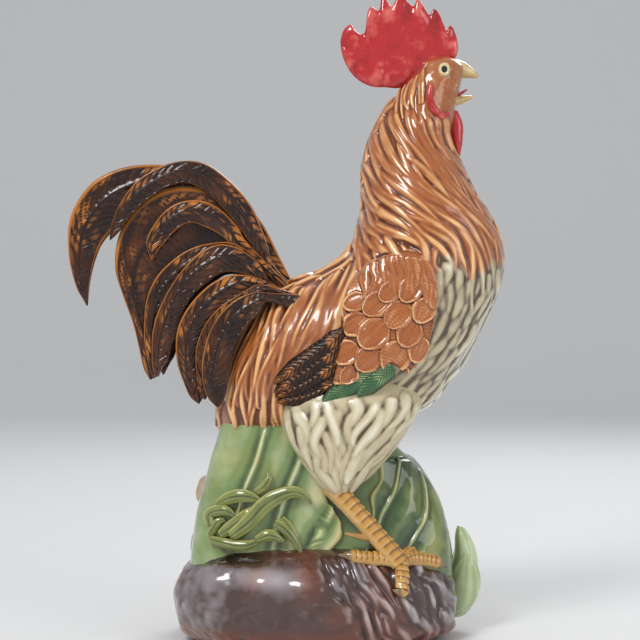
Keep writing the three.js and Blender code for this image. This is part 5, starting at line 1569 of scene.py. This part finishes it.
# Stations of each blade in the side view: x, z and half width, then how far it stands off the leaf, and the
# lesser blade beside it
GRASS = [
    [(-54, 5, 3.4), (-42.7, 14.4, 4.8), (-34.1, 23.7, 5.0), (-25.5, 29.6, 4.6), (-15.4, 32.5, 3.6),
     (-8.3, 29.6, 2.4), (-5, 24.8, 0.8)],
    [(-62.5, 23.6, 2.4), (-54.2, 28.4, 4.0), (-44.1, 29.6, 3.8), (-33.4, 26.3, 0.8)],
    [(-66, 11, 2.6), (-66.8, 17.6, 3.4), (-61.5, 20.6, 3.6), (-55.6, 20.4, 2.8), (-50.5, 17.4, 0.8)],
    [(-38.5, 31.7, 2.2), (-33.4, 35.2, 2.8), (-30.5, 40.2, 2.2), (-30.8, 44.4, 0.7)],
    [(-27.6, 14.4, 2.4), (-21.3, 10.8, 3.2), (-16.2, 5, 2.8), (-10.8, -4.2, 0.8)],
    [(-38.5, 3.4, 2.6), (-29.8, 6.6, 3.8), (-20.9, 2.7, 0.9)],
]
GRASS_STAND = [1.8, 1.0, 1.0, 0.3, 0.6, 0.3]
TUFT = {
    1: [(-60.7, 5.5, 2.6), (-55.2, 9.6, 3.8), (-48.2, 14.8, 4.2), (-42, 19.6, 3.6), (-36.5, 24.2, 1.0)],
    2: [(-66.5, 5.2, 2.2), (-64.1, 9.6, 2.8), (-61.3, 13.7, 2.6), (-56.9, 15.2, 0.9)],
    4: [(-23, 17.2, 1.8), (-18.2, 11.2, 2.8), (-14.6, 5, 2.6), (-13.4, -0.6, 0.9)],
    5: [(-66.9, 3.4, 2.2), (-59.3, 1.8, 3.0), (-51, 0.2, 3.4), (-42.7, 0.6, 3.0), (-35, 3.6, 1.0)],
}
GRASS_DEPTH = 3.8
GRASS_LIFT = 1.9


def grass_shell(rows, stand, seed):
    """A grass blade through stations in the side view, that stands so far off the leaf, with a groove along
    it."""
    stations = [(x, z, half, min(half * 1.2, GRASS_DEPTH)) for x, z, half in rows]

    def depth(flat):
        return MOUND.over(flat, LEAF_THICKNESS)[:, 1] - GRASS_LIFT - stand

    rings, fields = rod(stations, depth, count=56, around=30, lump=0.1, seed=seed)
    c = fields["across"]
    groove = bell(c, 0.05, 0.16) + 0.4 * bell(np.abs(c), 0.5, 0.1)
    rings[..., 1] += 0.7 * groove * (rings[..., 1] < rings[..., 1].mean(1, keepdims=True))
    fields["relief"] = np.clip(0.5 - 0.35 * groove + 0.35 * bell(np.abs(c), 0.9, 0.12), 0, 1)
    return rings, fields


def build_grass():
    """Six grass blades on the right side of the mound, four of them with a lesser blade beside them."""
    straw = glaze("grass_glaze", "grass", mottle=0.3, streak=0.4)
    for i, rows in enumerate(GRASS):
        shells = [grass_shell(rows, GRASS_STAND[i], i)]
        if i in TUFT:
            shells.append(grass_shell(TUFT[i], 0.0, i + 10))
        piece(f"grass_blade_{i + 1}", [f"grass_blade_{i + 1}"], straw, shells)


# Stations of the bud from its foot up, with x from the rock's front end, and the two angles and the reach of
# each sheath
BUD_DEPTH = 15.0
BUD = [
    (-6, -50, 3, 4), (1, -43, 8.5, 10), (4.5, -27, 9.4, 11), (5.5, -12, 7.4, 9), (3, 0, 4.4, 5.4),
    (1, 6, 1.2, 1.4),
]
BUD_SHEATHS = (("right", -3.34, 0.16, 0.62), ("left", 0.36, 2.96, 0.86))
SHEATH_GRID = (70, 60)


def sheath(stations, low, high, reach):
    """A pointed leaf round the bud between two angles, thin, with fine veins. It takes in a share of the
    bud's stations from the foot up."""
    rows, columns = SHEATH_GRID
    spots = np.linspace(0.05, 1, rows)[:, None]
    across = np.linspace(-0.5, 0.5, columns)[None]
    around = (low + high) / 2 + across * (high - low) * np.clip((1 - spots) / 0.55, 0.03, 1) ** 0.7
    s = smooth(stations, spots[:, 0] * reach * (len(stations) - 1))
    rim = np.clip((0.5 - np.abs(across)) / 0.06, 0, 1)
    faces = []
    for out in (0.5 + 1.2 * np.sqrt(1 - (1 - rim) ** 2) + 0 * spots, -0.3 + 0 * around):
        x = s[:, :1] + (s[:, 2:3] + out) * np.cos(around)
        y = BUD_DEPTH + (s[:, 3:4] + out) * np.sin(around)
        faces.append(np.stack([x, y, s[:, 1:2] + 0 * x], -1))
    vein = np.abs(np.sin(14 * across)) + 0 * spots
    relief = np.concatenate([0.35 + 0.3 * vein + 0.3 * (1 - rim), 0.3 + 0 * vein], axis=1)
    rings = np.concatenate([faces[0], faces[1][:, ::-1]], axis=1)
    return rings, {"relief": np.clip(relief, 0, 1), "zone": 0.35}


BUD_GRID = (90, 72)


def build_bud():
    """Flower bud: a closed drop with lengthwise petal folds, between two sheaths that hug it."""
    pale = glaze("bud_glaze", "bud", "leaf", mottle=0.35, mottle_size=120.0, streak=0.3)
    stations = [(ROCK_FRONT + x, z, wide, deep) for x, z, wide, deep in BUD]
    rows, columns = BUD_GRID
    rings, fields = rod(stations, BUD_DEPTH, rows, columns)
    turn = full_turn(columns)[None]
    u = np.linspace(0, 1, rows)[:, None]
    petal = np.abs(np.sin(2.5 * turn + 2.2 * u)) ** 0.5
    centre = rings.mean(1, keepdims=True)
    rings = centre + (rings - centre) * (1 - 0.09 * (1 - petal))[..., None]
    fields["relief"] = np.clip(0.2 + 0.5 * petal, 0, 1)
    fields["zone"] = (1 - ease(0.0, 0.45, u)) * 0.8
    piece("bud", ["bud"], pale, [(rings, fields)])
    for side, low, high, reach in BUD_SHEATHS:
        name = f"bud_sheath_{side}"
        piece(name, [name], pale, [sheath(stations, low, high, reach)])


# Stage

FLOOR_HALF = 6.0
FLOOR_BEND_AT = 2.2
FLOOR_BEND_RADIUS = 1.8
# Place, size and power of each lamp, and the point that they all face
LAMPS = {
    "key": ((-0.8, -1.3, 1.5), 0.6, 19),
    "fill": ((1.4, -1.2, 0.7), 1.0, 6),
    "rim": ((0.5, 1.2, 1.3), 0.8, 9),
}
LAMP_AIM = (0, 0, 0.2)


def look_at(obj, at, aim):
    """Set an object at a place and turn it to face another."""
    obj.location = at
    obj.rotation_euler = (Vector(aim) - Vector(at)).to_track_quat("-Z", "Y").to_euler()


def build_stage():
    """A pale floor that curves up far behind the figure, soft lights and the camera, which looks level at
    the bird's right side."""
    mesh = bpy.data.meshes.new("floor")
    bend = np.linspace(0, math.pi / 2, 33)
    behind = FLOOR_BEND_AT + FLOOR_BEND_RADIUS * np.sin(bend)
    rise = FLOOR_BEND_RADIUS - FLOOR_BEND_RADIUS * np.cos(bend)
    wall_top = [FLOOR_BEND_AT + FLOOR_BEND_RADIUS, FLOOR_HALF]
    profile = np.vstack([[-FLOOR_HALF, 0], np.stack([behind, rise], -1), wall_top])
    verts = [(x, y, z) for y, z in profile.tolist() for x in (-FLOOR_HALF, FLOOR_HALF)]
    mesh.from_pydata(verts, [], [(2 * k, 2 * k + 1, 2 * k + 3, 2 * k + 2) for k in range(len(profile) - 1)])
    mesh.polygons.foreach_set("use_smooth", np.ones(len(mesh.polygons), bool))
    floor = bpy.data.objects.new("floor", mesh)
    bpy.context.scene.collection.objects.link(floor)
    paint = bpy.data.materials.new("floor_paint")
    paint.use_nodes = True
    shader = paint.node_tree.nodes["Principled BSDF"]
    shader.inputs["Base Color"].default_value = (0.78, 0.78, 0.78, 1)
    shader.inputs["Roughness"].default_value = 0.6
    mesh.materials.append(paint)
    world = bpy.data.worlds.new("studio")
    bpy.context.scene.world = world
    world.use_nodes = True
    sky = world.node_tree.nodes["Background"]
    sky.inputs["Color"].default_value = (0.9, 0.92, 0.95, 1)
    sky.inputs["Strength"].default_value = 0.6
    for name, (at, size, power) in LAMPS.items():
        light = bpy.data.lights.new(name, "AREA")
        light.size = size
        light.energy = power
        lamp = bpy.data.objects.new(name, light)
        look_at(lamp, at, LAMP_AIM)
        bpy.context.scene.collection.objects.link(lamp)
    camera = bpy.data.cameras.new("camera")
    camera.sensor_width = 36
    camera.lens = camera.sensor_width * CAMERA_AWAY / (2 * VIEW_MIDDLE * POINT)
    eye = bpy.data.objects.new("camera", camera)
    eye.location = (np.array([0, -CAMERA_AWAY, CAMERA_HEIGHT]) + ORIGIN) / 1000
    eye.rotation_euler = (math.pi / 2, 0, 0)
    bpy.context.scene.collection.objects.link(eye)
    bpy.context.scene.camera = eye
    bpy.context.scene.view_settings.view_transform = "Standard"


class ROOSTER_OT_body(bpy.types.Operator):
    """Build the torso, neck and head with their feathers"""

    bl_idname = "rooster.body"
    bl_label = "Body"

    def execute(self, context):
        build_body()
        return {"FINISHED"}


class ROOSTER_OT_thighs(bpy.types.Operator):
    """Build both thighs with their locks of feathers"""

    bl_idname = "rooster.thighs"
    bl_label = "Thighs"

    def execute(self, context):
        build_thighs()
        return {"FINISHED"}


class ROOSTER_OT_wings(bpy.types.Operator):
    """Build the coverts, green feathers and flight feathers of both wings"""

    bl_idname = "rooster.wings"
    bl_label = "Wings"

    def execute(self, context):
        build_wings()
        return {"FINISHED"}


class ROOSTER_OT_tail(bpy.types.Operator):
    """Build the sickle feathers of the tail"""

    bl_idname = "rooster.tail"
    bl_label = "Tail"

    def execute(self, context):
        build_tail()
        return {"FINISHED"}


class ROOSTER_OT_head(bpy.types.Operator):
    """Build the comb, wattles, lobes, beak, tongue and eyes"""

    bl_idname = "rooster.head"
    bl_label = "Comb and face"

    def execute(self, context):
        build_head()
        return {"FINISHED"}


class ROOSTER_OT_legs(bpy.types.Operator):
    """Build the shanks with their spurs and the feet"""

    bl_idname = "rooster.legs"
    bl_label = "Legs"

    def execute(self, context):
        build_legs()
        return {"FINISHED"}


class ROOSTER_OT_rock(bpy.types.Operator):
    """Build the rock, the boulder and the pale stone"""

    bl_idname = "rooster.rock"
    bl_label = "Rock"

    def execute(self, context):
        build_rock()
        return {"FINISHED"}


class ROOSTER_OT_mound(bpy.types.Operator):
    """Build the leaf mound and its two wrapped leaves"""

    bl_idname = "rooster.mound"
    bl_label = "Leaf mound"

    def execute(self, context):
        build_mound()
        return {"FINISHED"}


class ROOSTER_OT_grass(bpy.types.Operator):
    """Build the grass blades on the mound"""

    bl_idname = "rooster.grass"
    bl_label = "Grass"

    def execute(self, context):
        build_grass()
        return {"FINISHED"}


class ROOSTER_OT_bud(bpy.types.Operator):
    """Build the flower bud and its sheaths"""

    bl_idname = "rooster.bud"
    bl_label = "Bud"

    def execute(self, context):
        build_bud()
        return {"FINISHED"}


class ROOSTER_OT_stage(bpy.types.Operator):
    """Build the floor, the lights and the camera"""

    bl_idname = "rooster.stage"
    bl_label = "Stage"

    def execute(self, context):
        build_stage()
        return {"FINISHED"}


OPERATORS = (
    ROOSTER_OT_body, ROOSTER_OT_thighs, ROOSTER_OT_wings, ROOSTER_OT_tail, ROOSTER_OT_head, ROOSTER_OT_legs,
    ROOSTER_OT_rock, ROOSTER_OT_mound, ROOSTER_OT_grass, ROOSTER_OT_bud, ROOSTER_OT_stage,
)


class ROOSTER_PT_panel(bpy.types.Panel):
    """Buttons for the pieces, and the sizes and colours that they use"""

    bl_label = "Ceramic rooster"
    bl_idname = "ROOSTER_PT_panel"
    bl_space_type = "VIEW_3D"
    bl_region_type = "UI"
    bl_category = "Rooster"

    def draw(self, context):
        for operator in OPERATORS:
            self.layout.operator(operator.bl_idname)
        for group in (context.scene.rooster_sizes, context.scene.rooster_glazes):
            for name in group.__annotations__:
                self.layout.prop(group, name)


CLASSES = (RoosterGlazes, RoosterSizes, *OPERATORS, ROOSTER_PT_panel)


def register():
    """Add the sizes, glazes, operators and panel to Blender."""
    for cls in CLASSES:
        bpy.utils.register_class(cls)
    bpy.types.Scene.rooster_glazes = bpy.props.PointerProperty(type=RoosterGlazes)
    bpy.types.Scene.rooster_sizes = bpy.props.PointerProperty(type=RoosterSizes)


def unregister():
    """Take them out again."""
    del bpy.types.Scene.rooster_sizes
    del bpy.types.Scene.rooster_glazes
    for cls in reversed(CLASSES):
        bpy.utils.unregister_class(cls)


def main():
    """Build every piece and the stage."""
    register()
    bpy.ops.rooster.body()
    bpy.ops.rooster.thighs()
    bpy.ops.rooster.wings()
    bpy.ops.rooster.tail()
    bpy.ops.rooster.head()
    bpy.ops.rooster.legs()
    bpy.ops.rooster.rock()
    bpy.ops.rooster.mound()
    bpy.ops.rooster.grass()
    bpy.ops.rooster.bud()
    bpy.ops.rooster.stage()
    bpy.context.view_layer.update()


if __name__ == "__main__":
    main()
